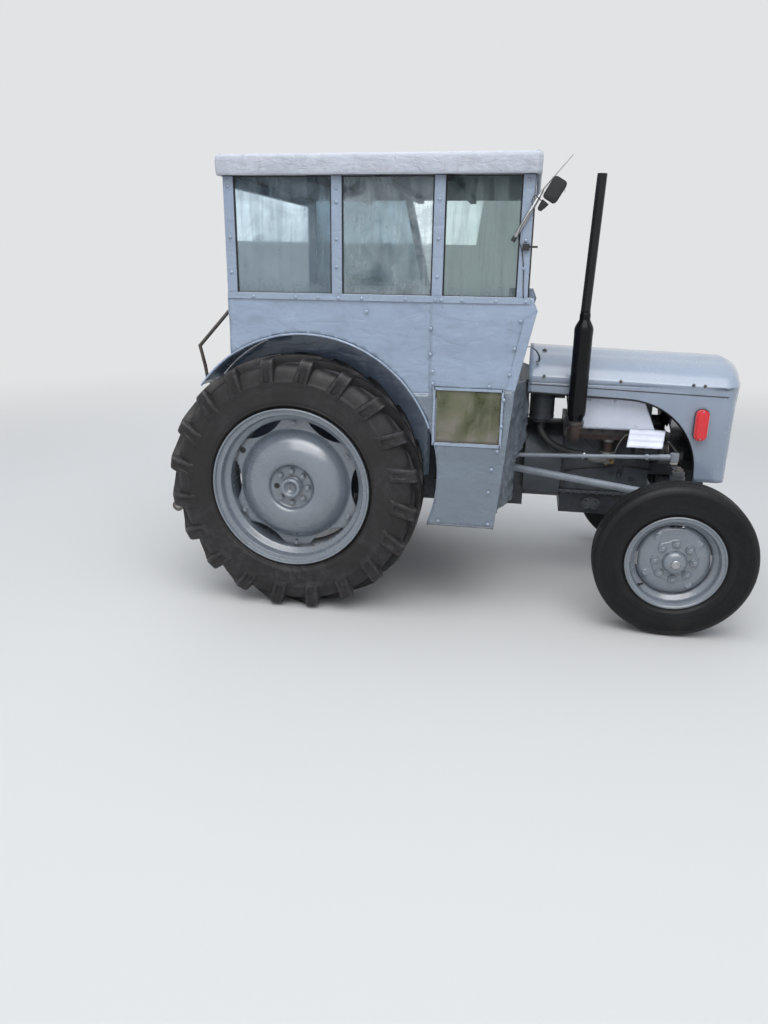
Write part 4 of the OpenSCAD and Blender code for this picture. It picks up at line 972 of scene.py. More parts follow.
LOW_PANE = GlassFinish("low_pane", tint(122, 134, 88), tint(134, 129, 118), haze=0.68, smears=0.22,
                       rough=0.25, low=0.86, rim=0.1, coat=0.28)
CARB_METAL = Finish("carburettor_metal", tint(138, 138, 136), tint(104, 102, 98), dirt=tint(84, 72, 58),
                    patch_scale=26.0, patch_amount=0.8, dirt_amount=0.6, dirt_top=1.4, speck_amount=0.2,
                    grime_amount=0.7, gloss=0.34, dull=0.7, metal=0.4, grain_depth=0.0006)
# Painted shade: a darker copy of the cab paint for the low right sheet.
DARKER_PAINT_FOR_SHADE = replace(PAINT, name="cab_paint_low", base=tint(108, 121, 134), second=tint(98, 110, 122))
ROD = Finish("grey_rod", tint(134, 142, 152), tint(114, 120, 129), dirt=tint(84, 70, 58), patch_scale=16.0,
             dirt_amount=0.25, dirt_top=0.9, speck_amount=0.1, grime_amount=0.3, gloss=0.34, dull=0.65,
             grain_depth=0.0006)
BOOT = Finish("pale_boot", tint(186, 182, 172), tint(160, 154, 142), dirt=tint(96, 84, 70), patch_scale=30.0,
              dirt_amount=0.5, speck_amount=0.0, gloss=0.5, dull=0.7, grain_depth=0.0005)


@dataclass
class Studio:
    """The camera, the lamps, the sky and the floor, with the camera in millimetres and degrees."""

    eye: Spot = (1058.0, -4063.0, 1638.0)
    heading: float = -10.322
    down: float = 18.13
    roll: float = 0.749
    focal_pixels: float = 763.73
    tall_pixels: float = 1024.0
    sensor: float = 36.0
    floor_radius: float = 70.0
    backdrop: Colour = tint(226, 227, 228)
    floor_colour: Colour = tint(200, 200, 199)

    def camera(self) -> None:
        """Makes the camera at the photograph's place."""
        heading, down, roll = (math.radians(a) for a in (self.heading, self.down, self.roll))
        ahead = Vector((math.sin(heading) * math.cos(down), math.cos(heading) * math.cos(down),
                        -math.sin(down)))
        level = Vector((math.cos(heading), -math.sin(heading), 0))
        up = level.cross(ahead)
        across = level * math.cos(roll) + up * math.sin(roll)
        above = up * math.cos(roll) - level * math.sin(roll)
        turn = Matrix((across, above, -ahead)).transposed().to_4x4()
        lens = bpy.data.cameras.new("camera")
        lens.sensor_width = self.sensor
        lens.sensor_height = self.sensor
        lens.lens = self.focal_pixels * self.sensor / self.tall_pixels
        lens.clip_end = 300.0
        holder = bpy.data.objects.new("camera", lens)
        holder.matrix_world = Matrix.Translation(at(*self.eye)) @ turn
        bpy.context.scene.collection.objects.link(holder)
        bpy.context.scene.camera = holder

    def sky(self) -> None:
        """Makes a world that lights softly from above, and shows as the pale backdrop."""
        world = bpy.data.worlds.new("sky")
        w = blank(world)
        where = w.node("TexCoord").outputs["Generated"]
        height = w.node("SeparateXYZ", {0: where}).outputs["Z"]
        light = w.spread(height, -0.1, 0.9, 0.38, 0.85)
        lamp = w.node("Background", {"Color": tint(240, 246, 255), "Strength": light})
        shown = w.node("Background", {"Color": self.backdrop, "Strength": 1.0})
        both = w.node("MixShader", {0: w.shown(), 1: lamp.outputs[0], 2: shown.outputs[0]})
        w.node("OutputWorld", {"Surface": both.outputs[0]})
        bpy.context.scene.world = world

    def softbox(self, name: str, where: Spot, aim: Spot, size: tuple[float, float], power: float) -> None:
        """Adds a rectangular lamp.

        Args:
            name: The lamp's name.
            where: Its place in metres.
            aim: The place that it points at.
            size: Its width and height in metres.
            power: Its power in watts.
        """
        lamp = bpy.data.lights.new(name, "AREA")
        lamp.shape = "RECTANGLE"
        lamp.size, lamp.size_y = size
        lamp.energy = power
        holder = bpy.data.objects.new(name, lamp)
        holder.location = where
        holder.rotation_euler = (Vector(aim) - Vector(where)).to_track_quat("-Z", "Y").to_euler()
        bpy.context.scene.collection.objects.link(holder)

    def floor(self) -> None:
        """Makes the pale floor, which turns into the backdrop far from the tractor."""
        made = bpy.data.materials.new("studio_floor")
        w = blank(made)
        where = w.node("TexCoord").outputs["Object"]
        far = w.node("VectorMath", {0: where}, operation="LENGTH").outputs["Value"]
        matt = w.node("BsdfPrincipled", {"Base Color": self.floor_colour, "Roughness": 0.8})
        glow = w.node("Emission", {"Color": self.backdrop, "Strength": 1.0})
        share = w.times(w.spread(far, 3.2, 9.0), w.shown())
        both = w.node("MixShader", {0: share, 1: matt.outputs[0], 2: glow.outputs[0]})
        w.node("OutputMaterial", {"Surface": both.outputs[0]})
        rim = [(x, y, 0.0) for x, y in circle(self.floor_radius, 64)]
        mesh = bpy.data.meshes.new("floor")
        mesh.from_pydata(rim, [], [tuple(range(64))])
        mesh.materials.append(made)
        ground = bpy.data.objects.new("floor", mesh)
        bpy.context.scene.collection.objects.link(ground)
        ground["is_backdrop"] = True

    def build(self) -> None:
        """Makes the camera, sky, lamps and floor."""
        self.camera()
        self.sky()
        self.softbox("key", (0.8, -4.6, 6.0), (0.2, 0.0, 0.8), (7.0, 4.0), 205.0)
        self.softbox("top", (-0.2, -1.7, 6.6), (0.0, -0.6, 0.8), (7.5, 5.0), 215.0)
        self.softbox("far", (-2.5, 6.0, 3.5), (0.0, 0.0, 0.8), (5.0, 3.5), 70.0)
        self.floor()
        bpy.context.scene.view_settings.view_transform = "Standard"


class Side(Enum):
    """A side of the tractor, with its sign along y."""

    RIGHT = -1
    LEFT = 1

    @property
    def label(self) -> str:
        """The side as names have it."""
        return self.name.lower()

    def wheel_place(self, x: float, out: float, z: float) -> Matrix:
        """Returns the place of a wheel drawn about Z, outwards up, its front along X."""
        upright = Matrix(((1, 0, 0, 0), (0, 0, self.value, 0), (0, 1, 0, 0), (0, 0, 0, 1)))
        return moved(x, self.value * out, z) @ upright


@dataclass
class RearWheel:
    """A rear tyre with its bars, and the wheel with its rim, domed disc, nuts and hub cup."""

    side: Side
    half_track: float = 611.0
    tyre_r: float = 615.0
    bars: int = 20
    tips: int = 6
    tip_r: float = 326.0
    tip_bolt_r: float = 301.0
    hollow_at: float = 466.0
    hollow_r: float = 192.0
    stud_r: float = 76.0
    dish: float = 92.0
    leads: Sequence[tuple[float, float, float]] = ((-10, 66, 130), (62, -86, -22), (108, -126, -64),
                                                   (152, -126, -66))
    # Radius and distance out of a bar's top, the same of its foot, and how far its pocket is sunk
    stations: Sequence[tuple[float, float, float, float, float]] = (
        (478, 136.0, 474, 134, 0), (492, 140.5, 486, 133, 0), (504, 141.8, 496, 131, 0),
        (508, 142.0, 500, 130, 7), (540, 141.6, 520, 125, 8), (566, 139.8, 536, 119, 7),
        (571, 139.0, 539, 118, 0), (586, 135.0, 548, 113, 0), (597, 130.0, 556, 107, 0),
        (604, 121.0, 563, 100, 0), (609, 108.0, 569, 93, 0), (612, 90.0, 574, 82, 0), (614, 68.0, 578, 64, 0),
        (615, 40.0, 580, 40, 0), (615, 12.0, 580, 12, 0), (615, -8.0, 580, -8, 0))

    @property
    def place(self) -> Matrix:
        """The wheel's place."""
        return self.side.wheel_place(0, self.half_track, self.tyre_r)

    def bar(self, forge: Forge, turn: float) -> None:
        """Adds one bar of the tread.

        Args:
            forge: The tyre.
            turn: The bar's place round the wheel, in degrees.
        """
        middle = math.radians(turn)
        grid = []
        for top_r, top_out, foot_r, foot_out, pocket in self.stations:
            low, high = lerp_table(self.leads, top_out)
            width = high - low
            along = Vector((top_r - foot_r, top_out - foot_out)).normalized()
            row = []
            for lead, level, sunk in ((low - 6, 0.0, 0), (low, 0.84, 0), (low + 5, 1.0, 0),
                                      (low + width * 0.27, 1.0, 0), (low + width * 0.34, 1.0, pocket),
                                      (low + width * 0.66, 1.0, pocket), (low + width * 0.73, 1.0, 0),
                                      (high - 5, 1.0, 0), (high, 0.84, 0), (high + 6, 0.0, 0)):
                r = mix(foot_r, top_r, level) - along.x * sunk
                out = mix(foot_out, top_out, level) - along.y * sunk
                angle = middle - math.asin(lead / r)
                row.append((r * math.cos(angle), r * math.sin(angle), out))
            grid.append(row)
        forge.rows(grid, caps=True)

    def tyre(self) -> None:
        """Makes the tyre."""
        forge = Forge(self.place)
        casing = [(583, 0), (583, 46), (578, 84), (565, 108), (545, 120), (520, 128.5), (506, 132),
                  (503, 134.4), (499, 134.6), (496, 133.4), (470, 137.8), (446, 138.6), (424, 136.6),
                  (418, 137.8), (412, 135.2), (402, 129.5), (398, 131), (393, 127.5), (387, 119),
                  (382, 113.5), (372, 110.5), (357, 110)]
        forge.lathe(both_faces(casing), 144, closed=True)
        for inner in (0, 1):
            forge.place = self.place @ Matrix.Diagonal((1, 1, -1 if inner else 1, 1))
            for index in range(self.bars):
                self.bar(forge, 90 + (index + inner / 2) * 360 / self.bars)
        forge.make(f"rear_tyre_{self.side.label}_tread", f"rear_wheel_{self.side.label}", "rear_rubber",
                   REAR_RUBBER, replaces=[f"rear_tyre_{self.side.label}"], crease=40)

    def star_edge(self, turn: float) -> float:
        """Returns the disc's outer radius in a direction in radians: six tips with hollows between."""
        off = (turn + math.pi / self.tips) % (2 * math.pi / self.tips) - math.pi / self.tips
        off = math.pi / self.tips - abs(off)
        inner = self.hollow_r**2 - (self.hollow_at * math.sin(off)) ** 2
        return self.tip_r if inner < 0 else min(self.tip_r, self.hollow_at * math.cos(off) - math.sqrt(inner))

    def wheel(self) -> None:
        """Makes the rim and the disc, and on the right wheel flat black discs as painted shade in the empty
        nut holes.
        """
        label = self.side.label
        body = f"rear_wheel_{label}"
        rim = Forge(self.place)
        lip = [(316, 0), (316, 42), (318, 64), (324, 71), (338, 77), (344, 83), (346, 92), (346.5, 112),
               (349, 117), (362, 118.5), (368, 121), (370, 128), (372.5, 135), (377, 137), (381, 135),
               (381.2, 124), (381, 113), (357, 112.5), (357, 74), (350, 68), (328, 58), (325, 40), (325, 0)]
        rim.lathe(both_faces(lip), 144, closed=True)
        for index in range(self.tips):
            with rim.placed(turned("Z", 90 + index * 360 / self.tips)):
                rim.block((288, -23, 2), (324, 23, 8))
                rim.block((288, -23, 20), (322, 23, 27.5))
                for edge in (-23, 17):
                    rim.block((290, edge, 3), (323, edge + 6, 27))
        rim.make(f"rear_rim_{label}", body, "grey_paint", WHEEL_PAINT, bevel=1.2)

        disc = Forge(self.place)
        dome = curve_profile([(104, 100), (110, 111.5), (122, 120), (142, 123.5), (166, 120.5), (190, 112),
                              (215, 97), (236, 79), (252, 60), (262, 46), (270, 38.5)], 3)
        steps = 180
        grid = [[(x, y, h) for x, y in circle(r, steps)]
                for r, h in [(6, 91.4), (60, 92), (88, 92), (95, 93.4), (100, 96), *dome]]
        for share, drop in ((0.15, 36.6), (0.5, 36.0), (0.88, 36.0), (0.96, 35.0), (1.0, 32.0), (1.0, 28.5)):
            row = []
            for k in range(steps):
                turn = 2 * math.pi * k / steps
                r = mix(270, self.star_edge(turn + math.pi / 2), share)
                row.append((r * math.cos(turn), r * math.sin(turn), drop))
            grid.append(row)
        disc.rows(grid, round_rows=True)
        disc.make(f"rear_disc_{label}", body, "grey_paint", WHEEL_PAINT, skin=6.0, crease=60,
                  replaces=[f"rear_wheel_{label}"], skin_side=1.0)

        nuts = Forge(self.place)
        for index in range(self.tips):
            if self.side is Side.LEFT or index != 1:
                nuts.bolt((*polar(self.tip_bolt_r, 90 + index * 60), 36), (0, 0, 1), 13, 11, washer=18, tip=5)
        for index in (0, 1, 2, 3, 5, 6, 7):
            nuts.bolt((*polar(self.stud_r, index * 45), self.dish), (0, 0, 1), 13.5, 15, tip=6)
        nuts.lathe([(0, 90), (50, 90), (50, 96), (47, 98), (47, 119), (45, 125), (40, 128), (34, 127.5),
                    (29, 122), (24, 112), (16, 106.5), (9, 105), (8, 101), (0, 101)], 48)
        nuts.make(f"rear_nuts_{label}", body, "grey_paint", WHEEL_PAINT, bevel=0.8)

        inside_parts = Forge(self.place)
        inside_parts.lathe([(0, 84), (172, 84), (178, 80), (178, 62), (174, 60), (174, 56), (178, 54),
                            (178, 36), (170, 30), (60, 30), (34, 28), (32, 20), (32, -100), (0, -100)], 64)
        inside_parts.make(f"brake_drum_{label}", body, "engine_grey", CASTING)

        dark = Forge(self.place)
        # Painted shade: on the right wheel, flat black discs stand where nuts are missing, for the shade in
        # the empty holes.
        if self.side is Side.RIGHT:
            with dark.placed(moved(*polar(self.tip_bolt_r, 150), 36)):
                dark.lathe([(0, 0), (15, 0), (14.5, 1.4), (9, 1.6), (8, 0.4), (0, 0.3)], 24)
            with dark.placed(moved(-self.stud_r, 0, self.dish)):
                dark.lathe([(0, 0), (14, 0), (13.5, 1.6), (10, 1.8), (9, 0.4), (0, 0.3)], 24)
        dark.turned_bar((*polar(316, -90), 26), (*polar(284, -90), 38),
                        [(0, 0), (9, 0), (8, 8), (4.5, 11), (4.5, 24), (5.5, 24), (5.5, 33), (0, 34)], 16)
        dark.make(f"rear_valve_{label}", body, "black_plastic", BLACK_PLASTIC)

    def build(self) -> None:
        """Makes the tyre and the wheel."""
        self.tyre()
        self.wheel()


@dataclass
class FrontWheel:
    """A ribbed front tyre, and the wheel with its slotted disc, hub, nuts and cap."""

    side: Side
    axle_x: float = 1778.0
    half_track: float = 615.0
    tyre_r: float = 362.0
    boss_r: float = 84.0
    knobs: Sequence[float] = (41, 127, 209, 304)
    knob_r: float = 134.0

    @property
    def place(self) -> Matrix:
        """The wheel's place."""
        return self.side.wheel_place(self.axle_x, self.half_track, self.tyre_r)

    def tyre(self) -> None:
        """Makes the tyre: three ribs round the tread and fine rings down the side."""
        half = [(354, 0), (354, 9), (361.5, 11), (362, 13), (362, 19), (361, 21), (354, 22.5), (354, 27),
                (361, 28.5), (361.5, 31), (360.5, 43), (359.5, 45), (353, 46.5), (352.5, 50), (358, 51.5),
                (357, 56), (352, 63), (344, 69), (336, 72)]
        for index in range(13):
            r = 330 - index * 5.4
            out = lerp_table(((262, 78.6), (275, 81.0), (285, 81.6), (298, 80.4), (315, 77), (336, 72)), r)[0]
            half += [(r, out + 0.8), (r - 1.8, out + 0.9), (r - 2.5, out - 0.5), (r - 4.7, out - 0.5)]
        half += [(258, 78.2), (250, 76.0), (246, 77.0), (240, 74.0), (233, 68), (229, 63), (224, 58),
                 (214, 55.5), (204, 55)]
        forge = Forge(self.place)
        forge.lathe(both_faces(half), 120, closed=True)
        forge.make(f"front_tyre_{self.side.label}_ribs", f"front_wheel_{self.side.label}", "front_rubber",
                   FRONT_RUBBER, replaces=[f"front_tyre_{self.side.label}"], crease=50)

    def wheel(self) -> None:
        """Makes the rim, disc, hub and nuts."""
        label = self.side.label
        body = f"front_wheel_{label}"
        rim = Forge(self.place)
        lip = [(168, 0), (168.5, 12), (173, 19), (188, 28), (194, 34), (196, 42), (196.5, 56), (199, 60),
               (208, 61.5), (212, 64), (214, 68), (218, 69), (221.5, 67), (222, 60), (221.6, 56.5),
               (203.4, 56), (203, 34), (198, 26), (178, 14), (175, 0)]
        rim.lathe(both_faces(lip), 120, closed=True)
        rim.make(f"front_rim_{label}", body, "grey_paint", WHEEL_PAINT)

        disc = Forge(self.place)
        steps = 144
        rows = [(4, 26), (60, 26), (112, 26), (124, 25), (138, 22), (148, 18.5), (157, 12.5), (164, 6),
                (168.5, -2)]
        grid = []
        for r, out in rows:
            row = []
            for k in range(steps):
                turn = 360 * k / steps
                bump = 0.0
                for knob in self.knobs:
                    apart = math.radians((turn - knob + 180) % 360 - 180)
                    far = math.hypot(r - self.knob_r, r * apart)
                    bump = max(bump, 4.0 * (1 - ease(12, 22, far)))
                row.append((*polar(r, turn), out + bump))
            grid.append(row)
        slots = [k for k in range(steps)
                 if min(abs((360 * k / steps - s + 180) % 360 - 180) for s in (0, 90, 180, 270)) < 11]
        disc.rows(grid, round_rows=True, keep=lambda r, c: not (r == 6 and c in slots))
        disc.make(f"front_disc_{label}", body, "grey_paint", WHEEL_PAINT, skin=4.0, crease=50,
                  replaces=[f"front_wheel_{label}"])

        hub = Forge(self.place)
        hub.lathe([(0, 25), (100, 25), (102, 27), (102, 31), (99, 33.5), (84, 34), (66, 37), (56, 42),
                   (54, 52), (51, 59), (45, 66), (36, 71.5), (26, 75), (21, 76.5), (0, 76.5)], 96,
                  wobble=lambda turn, r, h: 3.5 * math.cos(8 * turn) * ease(70, 100, r))
        hub.lathe([(0, 17), (58, 17), (56, -40), (48, -52), (44, -69), (18, -69), (18, -30), (0, -30)], 48)
        for index in range(8):
            spot = polar(self.boss_r, index * 45)
            with hub.placed(moved(*spot, 30)):
                hub.lathe([(0, 0), (19, 0), (19, 8), (16.5, 12), (0, 13)], 28)
            hub.bolt((*spot, 42), (0, 0, 1), 11.5, 9, tip=5)
        for knob in self.knobs:
            with hub.placed(moved(*polar(self.knob_r, knob), 24)):
                hub.lathe([(0, 0), (17, 0), (17, 5), (14, 8), (0, 9)], 24)
        hub.mark = 1
        hub.lathe([(0, 75), (20, 75), (20, 81), (17, 83.5), (0, 84)], 32)
        hub.mark = 2
        hub.turned_bar((*polar(190, 222), 30), (*polar(170, 222), 48),
                       [(0, -4), (7, -4), (6, 5), (4, 8), (4, 18), (5, 18), (5, 26), (0, 27)], 14)
        hub.make(f"front_hub_{label}", body, "grey_paint", WHEEL_PAINT, BRIGHT_STEEL, BLACK_PLASTIC,
                 bevel=0.6)

    def build(self) -> None:
        """Makes the tyre and the wheel."""
        self.tyre()
        self.wheel()


@dataclass
class Cab:
    """The home-made cab: sheets, posts, panes, roof, mudguards, foot boards and the small lamp."""

    half: float = 680.0
    inner: float = 668.0
    back: float = -285.0
    front: float = 1048.0
    sill: float = 1500.0
    roof: float = 1980.0
    roof_top: float = 2066.0
    seam: float = 645.0
    kink: tuple[float, float] = (1086.0, 1448.0)
    foot: tuple[float, float] = (1014.0, 1112.0)
    floor: float = 470.0
    guard: tuple[float, float, float] = (60.0, 700.0, 628.3)
    post_w: float = 46.0
    post_t: float = 30.0
    posts: Sequence[float] = (-285.0, 196.0, 636.0, 996.0)
    door_back: float = 462.0
    door_lean: float = 117.0

    def front_edge(self, z: float) -> float:
        """Returns the station of the sheets' front edge at a height below the kink."""
        return mix(self.foot[0], self.kink[0], (z - self.foot[1]) / (self.kink[1] - self.foot[1]))

    def dent(self, x: float, z: float, seed: float) -> float:
        """Returns how far a side sheet stands out of flat at a place, in millimetres."""
        calm = ease(self.sill, self.sill - 70, z)
        waves = 4.6 * ripple(x, seed, z * 1.9, 190) + 2.6 * ripple(x * 1.3, seed + 40, z, 75)
        fold = ripple(x + 0.8 * z, seed + 90, z - 0.5 * x, 120)
        crease = 3.4 * (1 - ease(0.0, 0.16, abs(fold)))
        whole = calm * (waves + crease * ease(0.2, 0.7, abs(ripple(x, seed + 7, z, 260)) + 0.25)) - 1.2
        return min(1.3, max(-8.0, whole))

    def side_sheet(self, name: str, replaces: str, outlines: Sequence[Outline], side: Side, seed: float,
                   out: float = 0.0) -> None:
        """Makes one sheet of a side.

        Args:
            name: The piece's name.
            replaces: The CAD node that it stands for.
            outlines: Its edge and holes, as x and z.
            side: The side of the cab.
            seed: Number that sets its dents.
            out: How far it stands out past the others.
        """
        forge = Forge()
        sign = side.value
        level = self.half - 1.5 + out

        def lift(x: float, z: float) -> Spot:
            """Puts a point of the flat sheet on the cab."""
            return (x, sign * (level + self.dent(x, z, seed) - 1.0), z)

        forge.drape(outlines, 17.0, lift)
        forge.face_towards((0, sign, 0))
        for outline in outlines:
            rim = [lift(u, v) for u, v in stepped(outline, 40)]
            forge.tube([(x, y - sign * 2.0, z) for x, y, z in rim], 2.8, 6, closed=True)
        # The low right sheet takes the darker copy of the cab paint, as painted shade.
        finish = DARKER_PAINT_FOR_SHADE if name == "cab_sheet_skirt_right" else PAINT
        forge.make(name, "chassis", "grey_paint", finish, replaces=[replaces] if replaces else [], skin=2.4)

    def sides(self) -> None:
        """Makes the sheets of both sides and of the front."""
        gx, gz, gr = self.guard
        low = 1080.0
        start = math.degrees(math.acos((self.back - gx) / gr))
        end = math.degrees(math.asin((low - gz) / gr))
        arch = arc(gx, gz, gr, start, end, 26)
        self.side_sheet("cab_sheet_rear_right", "cab_side_right",
                        [[(self.back, self.sill), *arch, (self.seam, low), (self.seam, self.sill)]],
                        Side.RIGHT, 3.0)
        self.side_sheet("cab_sheet_cheek_right", "cab_cheek_right",
                        [[(self.seam - 8, 1106), (self.foot[0] - 1, 1106), self.kink,
                          (self.front + 16, self.sill), (self.seam - 8, self.sill)]], Side.RIGHT, 21.0, 2.2)
        rear = arc(gx, gz, gr, end, math.degrees(math.asin((self.floor - gz) / gr)), 22)
        self.side_sheet("cab_sheet_skirt_right", "cab_skirt_right",
                        [[*rear, (self.front - 91, self.floor), (self.foot[0] - 1, 1105.7),
                          (self.seam, 1105.7), (self.seam, low)],
                         [(672, 861), (962, 861), (962, 1102), (672, 1102)]], Side.RIGHT, 47.0)
        self.side_sheet("cab_sheet_rear_left", "cab_side_left",
                        [[(self.back, self.sill), *arch, (self.door_back - 1, low),
                          (self.door_back - 1, self.sill)]], Side.LEFT, 65.0)
        self.side_sheet("cab_strip_left", "",
                        [[(930, self.floor), (self.front - 91, self.floor), (self.foot[0], self.foot[1]),
                          self.kink, (self.front + 16, self.sill), (930, self.sill)]], Side.LEFT, 83.0)

        wall = Forge()
        half, top, cut = self.inner - 1.0, 1366.0, 296.0
        notch = [(-cut, 1112), (-cut, 1123), (-200, 1197), (-116, 1218), (116, 1218), (200, 1197),
                 (cut, 1123), (cut, 1112)]
        wall.drape([[(-half, 1112), *notch, (half, 1112), (half, top), (-half, top)]], 24.0,
                   lambda y, z: (self.front_edge(z) - 1.0 + 1.6 * ripple(5, y, z, 110) - 1.6, y, z))
        wall.face_towards((1, 0, 0))
        wall.tube([(self.front_edge(z) + 1, y, z) for y, z in notch], 5.0, 8)
        for y in range(-600, 601, 150):
            wall.screw((self.front_edge(top - 16) - 1, y, top - 16), (1, 0, 0.2), 7)
        wall.make("cab_wall_front", "chassis", "grey_paint", PAINT, replaces=["cab_front_wall"], skin=2.4)

    def screws(self) -> None:
        """Makes the screws, the sill strips, the seam's strip and the trim round the low pane."""
        trim = Forge()
        for sign, end in ((-1, self.front + 8), (1, self.door_back)):
            trim.prism([(self.back, self.sill - 25), (end, self.sill - 25), (end, self.sill + 1),
                        (self.back, self.sill + 1)], sign * (self.half + 0.5), sign * (self.half + 3.6))
        out = self.half + 1.5
        trim.prism([(self.front - 41, 1112), (self.foot[0] + 1, 1112), (self.kink[0] + 1, self.kink[1]),
                    (self.kink[0] - 52, self.kink[1] - 40), (self.foot[0] - 36, 1112)], -out - 2.4, -out)
        for low, high in (((662, 849), (966, 861)), ((662, 1100), (966, 1112)), ((658, 849), (668, 1112)),
                          ((960, 849), (970, 1112))):
            trim.block((low[0], -out - 1.8, low[1]), (high[0], -out, high[1]))
        for x in (-163, 32, 134, 226, 331, 524, 655, 679, 769, 912, 1036):
            trim.screw((x, -self.half - 3.2, self.sill - 15), (0, -1, 0), 8.0)
        for x, z in ((353, 1430), (638, 1365), (639, 1255), (1020, 1405), (1002, 1289), (988, 1178),
                     (903, 1124), (970, 1068), (966, 950), (954, 835), (934, 750), (925, 643), (931, 489),
                     (700, 488), (655, 1128), (652, 1180)):
            trim.screw((x, -self.half - 4.4, z), (0, -1, 0), 8.0)
        for x, z in ((-262, 1940), (-262, 1733), (-262, 1586), (219, 1931), (219, 1876), (219, 1728),
                     (219, 1614), (659, 1887), (659, 1732), (659, 1580), (1019, 1960), (1019, 1728),
                     (1019, 1619)):
            trim.screw((x, -self.half - 0.4, z), (0, -1, 0), 8.0)
        for x in (-240, -60, 120, 300, 430):
            trim.screw((x, self.half + 3.2, self.sill - 12), (0, 1, 0), 8.0)
        for x, z in ((945, 1420), (1030, 1420), (945, 1180), (945, 900), (945, 640), (945, 500), (-262, 1560),
                     (-262, 1750), (-262, 1930), (1019, 1560), (1019, 1750), (1019, 1930)):
            trim.screw((x, self.half + 1.5 if z < 1500 else self.half - 0.6, z), (0, 1, 0), 8.0)
        trim.make("cab_trim", "chassis", "grey_paint", PAINT, bevel=0.7)

    def frame(self) -> None:
        """Makes the posts and rails."""
        posts = Forge()
        for x in self.posts:
            posts.block((x, -self.half, self.sill),
                        (x + self.post_w, -self.half + self.post_t, self.roof + 2))
            posts.block((x + 7, -self.half - 0.8, self.sill + 4),
                        (x + self.post_w - 7, -self.half + 4, self.roof + 1))
        for x in (self.posts[0], self.posts[3]):
            posts.block((x, self.half - self.post_t, self.sill), (x + self.post_w, self.half, self.roof + 2))
        foot = self.door_back - self.post_w
        posts.prism([(foot, self.sill), (self.door_back, self.sill),
                     (self.door_back - self.door_lean, self.roof + 2),
                     (foot - self.door_lean, self.roof + 2)], self.half - self.post_t, self.half)
        posts.block((self.back, -self.inner, self.sill - 34), (self.front, -self.inner + 24, self.sill))
        posts.block((self.back, self.inner - 24, self.sill - 34), (self.door_back, self.inner, self.sill))
        for sign in (-1, 1):
            leaning = [(self.foot[0] - 58, 1112), (self.foot[0] - 14, 1112), (self.front - 6, 1330),
                       (self.front - 6, self.sill + 1), (self.posts[3], self.sill + 1), (self.posts[3], 1330)]
            posts.prism(leaning, sign * self.inner, sign * (self.inner - 24))
        for x in (self.back, self.front - 30):
            posts.block((x, -self.half + self.post_t - 1, self.roof - 40),
                        (x + 30, self.half - self.post_t + 1, self.roof))
        posts.block((self.front - 30, -self.inner + 23, 1330), (self.front, self.inner - 23, 1366))
        posts.make("cab_posts", "chassis", "grey_paint", PAINT, bevel=2.2, replaces=["cab_frame"])

        beads = Forge()
        level = -self.half + self.post_t / 2 - 5
        for low, high in zip(self.posts, self.posts[1:]):
            a, b = low + self.post_w, high
            beads.tube([(a + 3, level, self.sill + 3), (b - 3, level, self.sill + 3),
                        (b - 3, level, self.roof - 3), (a + 3, level, self.roof - 3)], 4.5, 6, closed=True)
        edge = self.front - 8
        beads.tube([(edge, -641, 1369), (edge, 641, 1369), (edge, 641, 1937), (edge, -641, 1937)], 4.5, 6,
                   closed=True)
        beads.make("glazing_beads", "chassis", "black_plastic", BLACK_PLASTIC)

    def panes(self) -> None:
        """Makes the panes, each with its own haze."""
        level = self.half - self.post_t / 2
        for label, low, high, finish in (("rear", 0, 1, HAZY_PANE), ("middle", 1, 2, MIDDLE_PANE),
                                         ("front", 2, 3, FRONT_PANE)):
            pane = Forge()
            pane.block((self.posts[low] + self.post_w - 3, -level - 2, self.sill - 3),
                       (self.posts[high] + 3, -level + 2, self.roof + 1))
            pane.make(f"pane_{label}", "chassis", "window_pane", finish, bevel=0.5,
                      replaces=["cab_panes"] if label == "rear" else [])
        foot = self.door_back - self.post_w
        back = self.back + self.post_w
        left = Forge()
        left.prism([(back - 3, self.sill - 3), (foot + 3, self.sill - 3),
                    (foot - self.door_lean + 3, self.roof + 1), (back - 3, self.roof + 1)], level - 2,
                   level + 2)
        left.make("pane_left", "chassis", "window_pane", HAZY_PANE, bevel=0.5)
        screen = Forge()
        screen.block((self.front - 17, -646, 1364), (self.front - 13, 646, 1942))
        screen.make("pane_screen", "chassis", "window_pane", SCREEN_PANE, bevel=0.5)
        low_pane = Forge()
        low_pane.drape([[(660, 855), (968, 855), (968, 1108), (660, 1108)]], 30.0,
                       lambda x, z: (x, -self.half + 4 + 1.2 * ripple(x, 9, z, 90), z))
        low_pane.make("pane_low", "chassis", "window_pane", LOW_PANE, skin=4.0)

